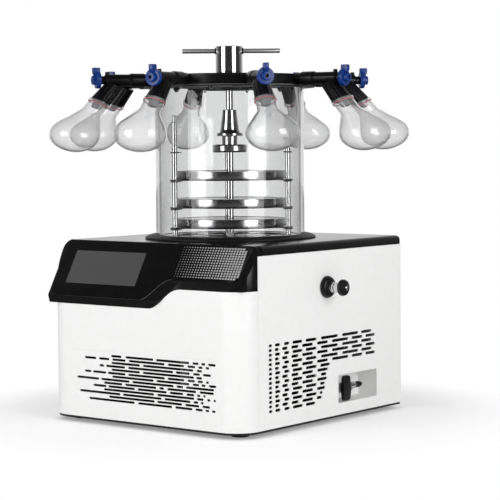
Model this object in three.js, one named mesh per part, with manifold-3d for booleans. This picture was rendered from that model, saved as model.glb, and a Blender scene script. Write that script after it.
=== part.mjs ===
// Benchtop freeze dryer with a clear stoppering chamber and an eight-port flask manifold.
// Millimetres, +Z up, front towards -Y. The model is drawn about the chamber's axis, and the
// whole group is then shifted so that the origin is the centre of its footprint at bench level.
import * as THREE from 'three';
import { mergeVertices } from 'three/addons/utils/BufferGeometryUtils.js';
import Module from 'manifold-3d';

const wasm = await Module();
wasm.setup();

// ---------------------------------------------------------------- driving dimensions
const GAP = 0.3;                 // clearance left between pieces that touch

// cabinet
const HALF_W = 240;              // half the cabinet's width
const FRONT = -270.5;            // cabinet's front face, from the chamber axis
const BACK = 243.5;              // cabinet's back face
const CORNER_R = 48;             // rounding of the two front uprights
const SHEET = 2;                 // painted sheet
const FOOT = { r: 19, taper: 2, h: 7.7, side: 44, front: 50, back: 46 };
const TRAY = { t: 4, inset: 1 };
const CAP = { top: 347, t: 17.3, bevel: 9, backR: 6 };
const FASCIA = { drop: 97, halfW: 234, v0: -8.1, r: 20, t: 16, back: 62, topR: 13 };
const SLOPE_DEG = 60;            // control fascia, from the horizontal
const LIP = { drop: 21.7, step: 38.7, x0: 18, x1: 98, pull0: 30, pull1: 35, rise: 0.842 };
const SCREEN = { u: [-198.5, -20.5], v: [19, 88.5], t: 2 };
const RECESS = { y: [27, 157], z: [34.5, 88.5], depth: 46, wall: 1.5, r: 3 };

// cold trap, chamber and shelf rack
const TRAP = { r: 83, wall: 2.5, flange: 3, depth: 172.3, cone: 12, collar: 10 };
const PROBE = { out: 16, turn: -52, r: 5, h: 13 };
const TRAP_DRAIN = { r: 6, l: 14 };
const TUBE = { ro: 145.7, wall: 10, h: 289.6 };
const RING = { play: 0.4, w: 21.9, h: 8, edge: 3 };
const RACK = { t: 4, ringW: 19, play: 2.7, spoke: 10, hubR: 15, hubH: 4 };
const POST = { r: 5, inset: 9.7, below: 53.5 };
const POST_TURNS = [-108.9, 11.1, 131.1];
const STOP = { r: 7.6, h: 2.4 };         // ring on a post that carries a shelf
const SHELF = { r: 110, plate: 15.2, carrier: 3, carrierIn: 6, play: 0.9 };
const EAR = { in: 22, play: 2.2, w: 16, bore: 0.8 };
const SHELF_RISE = [124.2, 70.9, 31.8];  // top of each shelf above the rack's foot

// lid, handle and press
const LID = { flangeT: 2.5, slit: 2, t: 20, r: 158, edge: 4, seat: 0.3, bossR: 50, bossH: 6 };
const SEAL_IN = [1, 10];                 // lid seal's two radii, inside the lid's edge
const ROD_R = 7;
const ROD_PLAY = 0.4;
const HUB = { r: 26.5, h: 56.7, edge: 2, play: 0.8, roof: 6.5, rodShort: 6 };
const BAR = { r: 4.5, from: -92, to: 100, below: 9, turn: 38.1 };
const BOSS = { below: 43.5, bore: 15, column: 52 };
// pressing sleeve: radius, depth below its top
const BOSS_STEPS = [[31, 82.6], [33.8, 80], [33.8, 69.5], [31, 67], [15, 67], [15, 50.5],
  [25.7, 50.5], [25.7, 44.8], [20.5, 44.8], [18.4, 38.4], [14, 7], [14, 0]];
const SLEEVE_PLAY = 1;

// eight ports: direction of each round the manifold, in degrees from +X
const PORT_TURNS = [-123.4, -82.9, -36.9, 3.1, 46.1, 97.1, 146.1, 192.1];
const FLASK_TILT = 41;           // flask axis, from the vertical
const MOUTH_TILT = 23;           // plane of a flask's mouth, from the horizontal
const ARM = { r: 11.4, reach: 102, drop: 41, collarR: 13.2, collar: [14, 43], end: 8 };
const NUB = { r: 4.2, tip: 3.6, back: 14, from: 8, h: 16 };
const SPIGOT = { neckR: 8, r: 5, play: 0.7, l: 9 };
const LEG = { topR: 15.6, r: 18.6, sink: 12.3 };
const PLUG = { play: 1.2, taper: 1.8, l: 18 };
const KNOB = { disc: 9, r: 16, bossR: 9, bossL: 7.7, boreR: 3.6, boreL: 6 };
const TAB = { w: 9, d: 15, from: 6, h: 24 };
const FLASK = { neckR: 16.2, neckWall: 2.2, lip: 2.4, lipH: 5, neckL: 25, flareIn: 2.5,
  bulbR: 51, length: 119, wall: 2.8, bend: 35, squash: 0.133, hang: 2.8 };
// outline of a flask's bulb: shares of its length and of its largest radius
const BULB = [[0.05, 0.375], [0.14, 0.49], [0.25, 0.64], [0.37, 0.815], [0.5, 0.95], [0.62, 1],
  [0.74, 0.95], [0.86, 0.8], [0.95, 0.53], [1, 0]];

// fittings in the side and rear walls
const RELIEF = { y: -11.5, below: 69 };
const RELIEF_FLANGE = [[0, 0.3], [21, 0.3], [21, 3], [16, 7], [0, 7]];
const RELIEF_STEM = [[0, 5], [10, 5], [10, 16], [8.6, 17], [8.6, 20], [10, 21], [10, 35],
  [4, 35], [4, 46], [0, 46]];
const RELIEF_KNOB = { r: 15.5, play: 0.5, t: 9.2, step: 5.7, topR: 13.5, nippleR: 6, end: 3 };
const DRAIN = { in: 21, z: 25, stubR: 7.8, side: [9, 8], h: 17 };
const DRAIN_Y = { stub: [-12, 23], body: [21, 65], collar: [63, 81], nozzle: [78, 105],
  barb: [85, 90], bore: [93, 113], lever: 36 };
const DRAIN_R = { collar: 7, nozzle: 4.6, barb: 6, bore: 2.6 };
const LEVER = { w: 28, h: 48, t: 9, r: 8 };
const FAN = { x: 20, z: 120, r: 68, pitch: 12, slot: 7, hubR: 18, hubL: 28, blade: 30,
  bladeT: 3, bladeR: 66, pitchTurn: 0.5, axleR: 14, run: 0.3 };
const INLET = { side: 35, w: 50, z: [50, 112], rim: 6, t: 3, depth: 34 };
const SOCKET = { side: 11, z: [5, 25], depth: 20 };
const SWITCH = { side: 13, z: [33, 59], depth: 12 };
const PINS = [[-7, 13], [7, 13], [0, 18]];       // x and height of each inlet pin
const PIN = { w: 2, h: 4, from: 22, to: 5 };
const VACUUM = { below: 47, holeR: 14, r: 12, flangeR: 20, flange: [12, 18], boreR: 9, l: 16,
  bored: 20, sunk: 23 };

// pieces inside the cabinet
const COMPRESSOR = { side: 110, front: 160.5 };
const COMPRESSOR_STEPS = [[0, 0], [78, 0], [78, 5.7], [64, 9.7], [68, 19.7], [68, 105.7],
  [58, 127.7], [34, 139.7], [0, 143.7]];
const CONDENSER = { x: [-110, 150], back: 27.5, t: 40, h: 223.7, fan: 12 };

// ---------------------------------------------------------------- places that follow
const SLOPE = SLOPE_DEG * Math.PI / 180;
const TILT = FLASK_TILT * Math.PI / 180;
const SLANT = new THREE.Matrix4()
  .makeShear(0, -Math.tan(TILT - MOUTH_TILT * Math.PI / 180), 0, 0, 0, 0);
const SEAM = FRONT + CORNER_R;   // plane where the front panel meets the side panels
const TRAY_Z = [FOOT.h + GAP, FOOT.h + GAP + TRAY.t];
const PANEL_Z0 = TRAY_Z[1] + GAP;
const CAP_Z0 = CAP.top - CAP.t;
const SLOPE_Z = CAP.top - FASCIA.drop;   // where the fascia's plane crosses the front face
const LIP_LOW = SLOPE_Z - LIP.drop;      // lower edge under the screen
const LIP_HIGH = LIP_LOW + LIP.step;     // lower edge at the right
const FASCIA_V1 = FASCIA.drop / Math.sin(SLOPE);
const DECK = CAP.top + GAP;              // what stands on the cap starts here
const FLOOR = DECK + TRAP.flange + GAP;  // what stands on the trap's flange starts here
const RACK_TOP = FLOOR + RACK.t;
const TUBE_RI = TUBE.ro - TUBE.wall;
const TUBE_Z1 = FLOOR + TUBE.h;
const RING_RI = TUBE.ro + RING.play;
const RING_RO = RING_RI + RING.w;
const POST_RING = TUBE_RI - POST.inset;
const LID_Z0 = TUBE_Z1 + GAP;
const SLIT_Z = [LID_Z0 + LID.flangeT, LID_Z0 + LID.flangeT + LID.slit];
const LID_Z1 = SLIT_Z[1] + LID.t;
const HUB_Z = [LID_Z1 + GAP, LID_Z1 + GAP + HUB.h];
const BAR_Z = HUB_Z[1] - BAR.below;
const HUB_BORE_TOP = BAR_Z - BAR.r - HUB.roof;
const BOSS_TOP = LID_Z0 - BOSS.below;
const BORE_R = ROD_R + ROD_PLAY;
const PORT_Z = (SLIT_Z[1] + LID_Z1) / 2;
const MOUTH = { x: LID.r + ARM.reach, z: PORT_Z - ARM.drop };    // flask mouth's centre
const KNOB_X = MOUTH.x + GAP;
const VALVE = { x: HALF_W - DRAIN.in, z: RECESS.z[0] + DRAIN.z };
const INLET_X = [-HALF_W + INLET.side, -HALF_W + INLET.side + INLET.w];
const VACUUM_Z = CAP.top - VACUUM.below;
const CONDENSER_Y = [BACK - CONDENSER.back - CONDENSER.t, BACK - CONDENSER.back];
const FAN_Y1 = CONDENSER_Y[0] - CONDENSER.fan;   // back end of the fan's hub
const SPARE = 60;                // overrun of the shapes that only cut

// front vent slots: height of each row, then where each slot starts and ends
const FRONT_SLOT_H = 3.2;
const FRONT_SLOTS = [
  [133.5, [[-75, -48], [-38.5, 31], [37, 118], [125, 140], [146, 156], [162, 180]]],
  [127.0, [[-143, -112.5], [-106, -79], [-72, -38], [-30.5, 58.5], [66, 105.5],
    [113, 132], [138.5, 149.5], [156, 165]]],
  [120.5, [[-74, -2], [5, 127.5], [135, 148]]],
  [114.0, [[-105, -93], [-88, -39], [-32, 79], [85, 119], [126.5, 143], [149.5, 169]]],
  [107.5, [[-74, -2], [4.5, 129], [134, 148]]],
  [101.0, [[-143, -125.5], [-122, -87.5], [-83.5, -38.5], [-32, 59], [65, 106],
    [113, 131], [137, 150], [156.5, 164]]],
  [94.6, [[-72.5, 31.5], [38, 118], [125, 141], [146, 156], [163, 181]]],
  [88.1, [[-163, -106], [-101, -28.5], [-22, 80], [86.5, 103], [109, 176]]],
  [81.7, [[-94, -47], [-40, 37.5], [44.5, 56.5], [64, 134], [141.5, 175.5]]],
  [75.3, [[-121, -87], [-82.5, -15.5], [-9, 63], [70, 103], [110, 129], [135, 143.5],
    [150, 156]]],
  [68.9, [[-94, 32], [39.5, 129], [135, 151], [159, 167], [174, 180]]],
  [62.4, [[-156, -52], [-46, 50.5], [57, 120], [127, 138.5], [144, 151]]],
  [55.9, [[-81, 33.5], [39, 100], [107, 141], [148, 166]]],
  [49.3, [[-132, -16], [-8, 76], [83, 124.5], [131.5, 149], [155.5, 164], [170, 179]]],
];

// side vent slots: two patterns in turn, and the lower rows stop short of the recess
const SIDE_SLOT_H = 3.8;
const SIDE_ROW_Z = 165;
const SIDE_PITCH = 8.6;
const SIDE_ODD = [[-191.3, -180.8], [-172.6, -156.5], [-144.8, -128.5], [-119, -88],
  [-78, -43.3], [-29.3, 26], [40, 94], [103.7, 139.3]];
const SIDE_EVEN = [[-191.3, -181.3], [-173, -160.5], [-151.2, -133.5], [-122.8, -100.3],
  [-89.3, -54.5], [-42.3, -6.5], [6.3, 60.8], [71.7, 108], [118.6, 151.3]];
const SIDE_FULL = 6;             // rows above the recess
// lower rows: how many of the row's slots stay, and the slot that ends it
const SIDE_LOW = [[5, [-32.2, 0]], [5, [-41.5, -7.2]], [5, [-30.2, -11.5]], [5, [-42.2, -10]],
  [5, [-33, -17]], [5, [-43, -16]], [5, [-34.5, -24]], [5, [-44, -27]], [4, [-78, -48]]];
const LEFT_ROWS = [165, 152, 139, 126, 113, 100].map((z) => [z, [[-190, -25], [-5, 155]]]);

// ---------------------------------------------------------------- materials
const mat = (color, roughness, metalness, extra = {}) =>
  new THREE.MeshStandardMaterial({ color, roughness, metalness, ...extra });
const WHITE = mat(0xf0f0ef, 0.45, 0);
const BLACK = mat(0x0b0b0c, 0.35, 0);
const GLOSS_BLACK = mat(0x070708, 0.12, 0);
const RUBBER = mat(0x121212, 0.8, 0);
const STEEL = mat(0xc8c9ca, 0.25, 1);
const SATIN = mat(0xb9babb, 0.4, 1);
const GLASS = mat(0xe6eaea, 0.03, 0, { transparent: true, opacity: 0.3 });
const ACRYLIC = mat(0xe9ecee, 0.05, 0, { transparent: true, opacity: 0.3 });
const BLUE = mat(0x1233a0, 0.35, 0);
const SEAL = mat(0xdcdcd8, 0.6, 0);
const SCREEN_GREY = mat(0x4f4f4e, 0.2, 0);
const BRASS = mat(0x8f8f8f, 0.35, 1);
const FIN = mat(0x9fa3a6, 0.4, 1);

// ---------------------------------------------------------------- small tools
const RAD = Math.PI / 180;
const EPS = 1;                   // overlap of shapes that are then joined

// keeps position only, shares vertices and drops triangles that a lathe collapses on its axis
function weld(geometry) {
  const g = geometry.clone();
  for (const name of Object.keys(g.attributes)) if (name !== 'position') g.deleteAttribute(name);
  const m = mergeVertices(g, 1e-4);
  const src = m.index.array;
  const keep = [];
  for (let i = 0; i < src.length; i += 3) {
    const [a, b, c] = [src[i], src[i + 1], src[i + 2]];
    if (a !== b && b !== c && c !== a) keep.push(a, b, c);
  }
  m.setIndex(keep);
  return m;
}

function volume(g) {
  const p = g.attributes.position, ix = g.index.array;
  const a = new THREE.Vector3(), b = new THREE.Vector3(), c = new THREE.Vector3();
  let v = 0;
  for (let i = 0; i < ix.length; i += 3) {
    a.fromBufferAttribute(p, ix[i]);
    b.fromBufferAttribute(p, ix[i + 1]);
    c.fromBufferAttribute(p, ix[i + 2]);
    v += a.dot(b.cross(c));
  }
  return v / 6;
}

// welded geometry with its faces pointing out
function closed(geometry) {
  const g = weld(geometry);
  if (volume(g) < 0) {
    const ix = g.index.array.slice();
    for (let i = 0; i < ix.length; i += 3) [ix[i + 1], ix[i + 2]] = [ix[i + 2], ix[i + 1]];
    g.setIndex([...ix]);
  }
  g.computeVertexNormals();
  return g;
}

function solid(geometry) {
  const g = closed(geometry);
  return new wasm.Manifold(new wasm.Mesh({
    numProp: 3,
    vertProperties: new Float32Array(g.attributes.position.array),
    triVerts: new Uint32Array(g.index.array),
  }));
}

function surface(manifold) {
  const m = manifold.getMesh();
  const g = new THREE.BufferGeometry();
  g.setAttribute('position', new THREE.BufferAttribute(new Float32Array(m.vertProperties), 3));
  g.setIndex([...m.triVerts]);
  g.computeVertexNormals();
  return g;
}

const box = (x, y, z) => new THREE.BoxGeometry(x[1] - x[0], y[1] - y[0], z[1] - z[0])
  .translate((x[0] + x[1]) / 2, (y[0] + y[1]) / 2, (z[0] + z[1]) / 2);

// upright cylinder or cone between two heights
const rod = (r0, r1, z0, z1, seg, x = 0, y = 0) =>
  new THREE.CylinderGeometry(r1, r0, z1 - z0, seg).rotateX(Math.PI / 2)
    .translate(x, y, (z0 + z1) / 2);

// cylinder lying along X
const rodX = (r0, r1, x0, x1, seg, y = 0, z = 0) =>
  new THREE.CylinderGeometry(r1, r0, x1 - x0, seg).rotateZ(-Math.PI / 2)
    .translate((x0 + x1) / 2, y, z);

// cylinder lying along Y
const rodY = (r, y0, y1, seg, x = 0, z = 0) =>
  new THREE.CylinderGeometry(r, r, y1 - y0, seg).translate(0, (y0 + y1) / 2, 0)
    .translate(x, 0, z);

const turned = (points, seg) =>
  new THREE.LatheGeometry(points.map(([r, z]) => new THREE.Vector2(r, z)), seg)
    .rotateX(Math.PI / 2);

const outline = (points) => new THREE.Shape(points.map(([x, y]) => new THREE.Vector2(x, y)));

function roundedRect(x, y, r) {
  const s = new THREE.Shape();
  s.moveTo(x[0] + r, y[0]);
  s.lineTo(x[1] - r, y[0]);
  s.absarc(x[1] - r, y[0] + r, r, -Math.PI / 2, 0, false);
  s.lineTo(x[1], y[1] - r);
  s.absarc(x[1] - r, y[1] - r, r, 0, Math.PI / 2, false);
  s.lineTo(x[0] + r, y[1]);
  s.absarc(x[0] + r, y[1] - r, r, Math.PI / 2, Math.PI, false);
  s.lineTo(x[0], y[0] + r);
  s.absarc(x[0] + r, y[0] + r, r, Math.PI, Math.PI * 1.5, false);
  return s;
}

// vent slot between two ends, centred on a height
const slotPoints = ([a, b], z, h) => [[a, z - h / 2], [b, z - h / 2], [b, z + h / 2],
  [a, z + h / 2]];

const extrude = (shapes, depth, curveSegments = 6) =>
  new THREE.ExtrudeGeometry(shapes, { depth, bevelEnabled: false, curveSegments });

// outline drawn in (X, Z), extruded backwards from y0 to y1
const alongY = (shapes, y0, y1, seg) =>
  extrude(shapes, y1 - y0, seg).rotateX(Math.PI / 2).translate(0, y1, 0);

// outline drawn in (Y, Z), extruded from x0 to x1
function alongX(shapes, x0, x1, seg) {
  const turn = new THREE.Matrix4().makeBasis(new THREE.Vector3(0, 1, 0),
    new THREE.Vector3(0, 0, 1), new THREE.Vector3(1, 0, 0));
  return extrude(shapes, x1 - x0, seg).applyMatrix4(turn).translate(x0, 0, 0);
}

const group = new THREE.Group();
function add(name, geometry, material, parent = group) {
  const mesh = new THREE.Mesh(closed(geometry), material);
  mesh.name = name;
  parent.add(mesh);
  return mesh;
}

// ---------------------------------------------------------------- cabinet
// footprint with rounded front corners; inset moves every side inwards
function footprint(inset, rBack = 0) {
  const w = HALF_W - inset;
  const r = CORNER_R - inset;
  const front = FRONT + inset;
  const back = BACK - inset;
  const s = new THREE.Shape();
  s.moveTo(-w + r, front);
  s.lineTo(w - r, front);
  s.absarc(w - r, front + r, r, -Math.PI / 2, 0, false);
  if (rBack > 0) {
    s.lineTo(w, back - rBack);
    s.absarc(w - rBack, back - rBack, rBack, 0, Math.PI / 2, false);
    s.lineTo(-w + rBack, back);
    s.absarc(-w + rBack, back - rBack, rBack, Math.PI / 2, Math.PI, false);
  } else {
    s.lineTo(w, back);
    s.lineTo(-w, back);
  }
  s.lineTo(-w, front + r);
  s.absarc(-w + r, front + r, r, Math.PI, Math.PI * 1.5, false);
  return s;
}

// lower edge of the fascia as seen from the front, left to right
function lipCurve() {
  const c = new THREE.CubicBezierCurve(
    new THREE.Vector2(LIP.x0, LIP_LOW), new THREE.Vector2(LIP.x0 + LIP.pull0, LIP_LOW),
    new THREE.Vector2(LIP.x1 - LIP.pull1, LIP_HIGH), new THREE.Vector2(LIP.x1, LIP_HIGH));
  return c.getPoints(10).map((p) => [p.x, p.y]);
}

const WIDE = HALF_W + SPARE;

function aboveLip(lift) {
  const curve = lipCurve().map(([x, z]) => [x, z + lift]);
  return outline([[-WIDE, LIP_LOW + lift], ...curve, [WIDE, LIP_HIGH + lift],
    [WIDE, CAP.top + SPARE], [-WIDE, CAP.top + SPARE]]);
}

function belowLip() {
  const low = LIP_LOW - SPARE;
  return outline([[-WIDE, low], [WIDE, low], [WIDE, LIP_HIGH], ...lipCurve().reverse(),
    [-WIDE, LIP_LOW]]);
}

function baseTray() {
  return extrude(footprint(TRAY.inset), TRAY.t).translate(0, 0, TRAY_Z[0]);
}

function frontPanel() {
  const c = HALF_W - CORNER_R;
  const inner = CORNER_R - SHEET;
  const s = new THREE.Shape();
  s.moveTo(-HALF_W, SEAM);
  s.absarc(-c, SEAM, CORNER_R, Math.PI, Math.PI * 1.5, false);
  s.absarc(c, SEAM, CORNER_R, -Math.PI / 2, 0, false);
  s.lineTo(HALF_W - SHEET, SEAM);
  s.absarc(c, SEAM, inner, 0, -Math.PI / 2, true);
  s.absarc(-c, SEAM, inner, Math.PI * 1.5, Math.PI, true);
  const shell = solid(extrude(s, CAP.top - PANEL_Z0, 6).translate(0, 0, PANEL_Z0));
  const top = solid(alongY(aboveLip(-GAP), FRONT - SPARE, SEAM + SPARE));
  const slots = FRONT_SLOTS.flatMap(([z, row]) =>
    row.map((x) => outline(slotPoints(x, z, FRONT_SLOT_H))));
  const cuts = solid(alongY(slots, FRONT - SHEET, FRONT + 4 * SHEET));
  return surface(shell.subtract(top).subtract(cuts));
}

function sideRows() {
  const patterns = [SIDE_ODD, SIDE_EVEN];
  const upper = Array.from({ length: SIDE_FULL }, (_, i) => patterns[i % 2]);
  const lower = SIDE_LOW.map(([kept, last], i) =>
    [...patterns[(SIDE_FULL + i) % 2].slice(0, kept), last]);
  return [...upper, ...lower].map((row, i) => [SIDE_ROW_Z - i * SIDE_PITCH, row]);
}

function sidePanel(side) {
  const y0 = SEAM + GAP;
  const z1 = CAP_Z0 - GAP;
  const plate = outline([[y0, PANEL_Z0], [BACK, PANEL_Z0], [BACK, z1], [y0, z1]]);
  const rows = side > 0 ? sideRows() : LEFT_ROWS;
  const holes = rows.flatMap(([z, row]) =>
    row.map((y) => outline(slotPoints(y, z, SIDE_SLOT_H))));
  if (side > 0) holes.push(roundedRect(RECESS.y, RECESS.z, RECESS.r));
  const x = side > 0 ? [HALF_W - SHEET, HALF_W] : [-HALF_W, -HALF_W + SHEET];
  return surface(solid(alongX(plate, x[0], x[1]))
    .subtract(solid(alongX(holes, x[0] - SHEET, x[1] + SHEET, 3))));
}

function rearPanel() {
  const w = HALF_W - SHEET - GAP;
  const z1 = CAP_Z0 - GAP;
  const plate = outline([[-w, PANEL_Z0], [w, PANEL_Z0], [w, z1], [-w, z1]]);
  const holes = [outline([[INLET_X[0], INLET.z[0]], [INLET_X[1], INLET.z[0]],
    [INLET_X[1], INLET.z[1]], [INLET_X[0], INLET.z[1]]])];
  const most = Math.floor((FAN.r - FAN.slot / 2) / FAN.pitch);
  for (let i = -most; i <= most; i += 1) {
    const up = i * FAN.pitch;
    const reach = Math.sqrt(FAN.r * FAN.r - up * up);
    holes.push(outline(slotPoints([FAN.x - reach, FAN.x + reach], FAN.z + up, FAN.slot)));
  }
  const deep = [BACK - 2 * SHEET, BACK + SHEET];
  return surface(solid(alongY(plate, BACK - SHEET, BACK))
    .subtract(solid(alongY(holes, deep[0], deep[1])))
    .subtract(solid(rodY(VACUUM.holeR, deep[0], deep[1], 16, 0, VACUUM_Z))));
}

function topCap() {
  const b = CAP.bevel;
  const block = new THREE.ExtrudeGeometry(footprint(b, CAP.backR), { depth: CAP.t,
    curveSegments: 4, bevelEnabled: true, bevelThickness: b, bevelSize: b, bevelSegments: 3 })
    .translate(0, 0, CAP_Z0 - b);
  const keep = solid(box([-WIDE, WIDE], [FRONT + FASCIA.back + GAP, BACK + SPARE],
    [CAP_Z0, CAP.top + SPARE]));
  const r = TRAP.r + TRAP.collar;
  const hole = solid(rod(r, r, CAP_Z0 - SPARE, CAP.top + SPARE, 24));
  return surface(solid(block).intersect(keep).subtract(hole));
}

// local frame of the sloped fascia: x to the right, y up the slope, z outwards
const slopeFrame = new THREE.Matrix4().makeBasis(new THREE.Vector3(1, 0, 0),
  new THREE.Vector3(0, Math.cos(SLOPE), Math.sin(SLOPE)),
  new THREE.Vector3(0, -Math.sin(SLOPE), Math.cos(SLOPE)))
  .setPosition(0, FRONT, SLOPE_Z);

// lower lip: its upper face leans back from the front face
function fasciaLip() {
  const lean = new THREE.Matrix4().set(1, 0, 0, 0, 0, 1, 0, 0, 0, LIP.rise, 1,
    -LIP.rise * FRONT, 0, 0, 0, 1);
  const band = box([-WIDE, WIDE], [FRONT, SEAM], [LIP_LOW - SPARE, CAP_Z0]);
  return solid(alongY(belowLip(), FRONT, SEAM).applyMatrix4(lean)).intersect(solid(band));
}

function fascia() {
  const top = FASCIA.drop / Math.tan(SLOPE);
  const low = [FASCIA.v0 * Math.cos(SLOPE), SLOPE_Z + FASCIA.v0 * Math.sin(SLOPE)];
  const side = outline([[0, LIP_LOW], low, [top, CAP.top], [FASCIA.back, CAP.top],
    [FASCIA.back, CAP_Z0], [CORNER_R, CAP_Z0], [CORNER_R, LIP_LOW]]
    .map(([y, z]) => [y + FRONT, z]));
  const wedge = solid(alongX(side, -HALF_W, HALF_W));
  const deep = [FRONT - SPARE, FRONT + FASCIA.back + SPARE];
  const over = solid(alongY(aboveLip(0), deep[0], deep[1]));
  const low0 = LIP_LOW - SPARE;
  const view = roundedRect([-HALF_W, HALF_W], [low0, CAP.top], FASCIA.topR);
  const plan = solid(extrude(footprint(0), CAP.top - low0 + SPARE, 8).translate(0, 0, low0))
    .intersect(solid(alongY(view, deep[0], deep[1], 4)));
  const slab = solid(extrude(roundedRect([-FASCIA.halfW, FASCIA.halfW], [-SPARE, FASCIA_V1],
    FASCIA.r), FASCIA.t).translate(0, 0, -FASCIA.t).applyMatrix4(slopeFrame));
  const lip = fasciaLip().intersect(over).intersect(plan);
  const { u, v, t } = SCREEN;
  const pocket = solid(box([u[0] - GAP, u[1] + GAP], [v[0] - GAP, v[1] + GAP],
    [-t - GAP, SPARE]).applyMatrix4(slopeFrame));
  return surface(wedge.intersect(over).intersect(plan.add(slab)).add(lip).subtract(pocket));
}

function touchScreen() {
  const { u, v, t } = SCREEN;
  return box(u, v, [-t, 0]).applyMatrix4(slopeFrame);
}

// ---------------------------------------------------------------- chamber
// pot with its flange, temperature probe, drain stub and the vacuum pipe to the rear
function coldTrap() {
  const { r, wall, cone } = TRAP;
  const z0 = DECK - TRAP.depth;
  const z1 = DECK + TRAP.flange;
  const ro = r + wall;
  const flangeR = RING_RI - 1;
  const skin = [[0, z0], [ro - cone, z0], [ro, z0 + cone]];
  const pot = solid(turned([...skin, [ro, DECK], [flangeR, DECK], [flangeR, z1], [r, z1],
    [r, z0 + cone + wall - 0.5], [r - cone + 2, z0 + wall], [0, z0 + wall]], 28));
  const outer = solid(turned([...skin, [ro, DECK + EPS], [0, DECK + EPS]], 28));
  const out = r + PROBE.out;
  const turn = PROBE.turn * RAD;
  const probe = solid(rod(PROBE.r, PROBE.r - 1, z1 - EPS, z1 + PROBE.h, 8,
    out * Math.cos(turn), out * Math.sin(turn)));
  const pipe = solid(rodY(VACUUM.r, r - VACUUM.sunk, BACK + VACUUM.l, 10, 0, VACUUM_Z))
    .add(solid(rodY(VACUUM.flangeR, BACK + VACUUM.flange[0], BACK + VACUUM.flange[1], 14, 0,
      VACUUM_Z)));
  const drain = solid(rod(TRAP_DRAIN.r, TRAP_DRAIN.r, z0 - TRAP_DRAIN.l, z0 + 2 * wall, 8));
  return surface(pipe.add(drain).subtract(outer).add(pot).add(probe)
    .subtract(solid(rodY(VACUUM.boreR, BACK - VACUUM.bored, BACK + SPARE, 10, 0, VACUUM_Z))));
}

function baseRing() {
  const z1 = DECK + RING.h;
  return turned([[RING_RI, DECK], [RING_RO, DECK], [RING_RO, z1 - RING.edge],
    [RING_RO - RING.edge, z1], [RING_RI, z1], [RING_RI, DECK]], 36);
}

const chamberTube = () => turned([[TUBE_RI, FLOOR], [TUBE.ro, FLOOR], [TUBE.ro, TUBE_Z1],
  [TUBE_RI, TUBE_Z1], [TUBE_RI, FLOOR]], 36);

const shelfTop = (rise) => RACK_TOP + rise;

// posts, foot ring with three spokes and the centre column, welded into one frame
function rackFrame() {
  const ro = TUBE_RI - RACK.play;
  const ri = ro - RACK.ringW;
  const half = RACK.spoke / 2;
  let s = solid(turned([[ri, FLOOR], [ro, FLOOR], [ro, RACK_TOP], [ri, RACK_TOP],
    [ri, FLOOR]], 18));
  s = s.add(solid(rod(RACK.hubR, RACK.hubR, FLOOR, RACK_TOP + RACK.hubH, 8)));
  s = s.add(solid(rod(ROD_R, ROD_R, FLOOR, BOSS_TOP - BOSS.column, 12)));
  for (const turn of POST_TURNS) {
    const a = turn * RAD;
    const x = POST_RING * Math.cos(a);
    const y = POST_RING * Math.sin(a);
    s = s.add(solid(box([half, ri + 2 * half - 2], [-half, half], [FLOOR, RACK_TOP]).rotateZ(a)));
    s = s.add(solid(rod(POST.r, POST.r, FLOOR + EPS, LID_Z0 - POST.below, 8, x, y)));
    for (const rise of SHELF_RISE) {
      const under = shelfTop(rise) - SHELF.plate - SHELF.carrier - GAP;
      s = s.add(solid(rod(STOP.r, STOP.r, under - STOP.h, under, 6, x, y)));
    }
  }
  return surface(s);
}

function shelf(rise) {
  const z1 = shelfTop(rise);
  const z0 = z1 - SHELF.plate;
  const c0 = z0 - SHELF.carrier;
  const carrierR = SHELF.r - SHELF.carrierIn;
  let s = solid(rod(SHELF.r, SHELF.r, z0, z1, 30))
    .add(solid(rod(carrierR, carrierR, c0, z0 + EPS, 15)));
  for (const turn of POST_TURNS) {
    const a = turn * RAD;
    const ear = solid(box([SHELF.r - EAR.in, TUBE_RI - EAR.play], [-EAR.w / 2, EAR.w / 2],
      [c0, z0 - GAP]).rotateZ(a));
    const bore = solid(rod(POST.r + EAR.bore, POST.r + EAR.bore, c0 - SPARE, z1 + SPARE, 8,
      POST_RING * Math.cos(a), POST_RING * Math.sin(a)));
    s = s.add(ear).subtract(bore);
  }
  const bore = ROD_R + SHELF.play;
  return surface(s.subtract(solid(rod(bore, bore, c0 - SPARE, z1 + SPARE, 12))));
}

// ---------------------------------------------------------------- lid and press
function lidDisc() {
  const { r, edge, bossR, bossH } = LID;
  const seat = TUBE.ro + LID.seat;
  return turned([[BORE_R, LID_Z0 - bossH], [bossR, LID_Z0 - bossH], [bossR, LID_Z0],
    [RING_RO, LID_Z0], [RING_RO, SLIT_Z[0]], [seat, SLIT_Z[0]], [seat, SLIT_Z[1]],
    [r, SLIT_Z[1]], [r, LID_Z1 - edge], [r - edge, LID_Z1], [BORE_R, LID_Z1],
    [BORE_R, LID_Z0 - bossH]], 36);
}

function lidSeal() {
  const [ro, ri] = SEAL_IN.map((inset) => LID.r - inset);
  const z = [SLIT_Z[0] + GAP, SLIT_Z[1] - GAP];
  return turned([[ri, z[0]], [ro, z[0]], [ro, z[1]], [ri, z[1]], [ri, z[0]]], 24);
}

function handleHub() {
  const { r, edge } = HUB;
  const [z0, z1] = HUB_Z;
  const body = solid(turned([[0, z0], [r, z0], [r, z1 - edge], [r - edge, z1], [0, z1]], 24));
  const boreR = ROD_R + HUB.play;
  const bore = solid(rod(boreR, boreR, z0 - SPARE, HUB_BORE_TOP, 12));
  const cross = solid(rodX(BAR.r + GAP, BAR.r + GAP, -2 * r, 2 * r, 12, 0, BAR_Z)
    .rotateZ(BAR.turn * RAD));
  return surface(body.subtract(bore).subtract(cross));
}

const handleBar = () => rodX(BAR.r, BAR.r, BAR.from, BAR.to, 12, 0, BAR_Z)
  .rotateZ(BAR.turn * RAD);

const pressRod = () => rod(ROD_R, ROD_R, BOSS_TOP + GAP, HUB_BORE_TOP - HUB.rodShort, 12);

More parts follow.
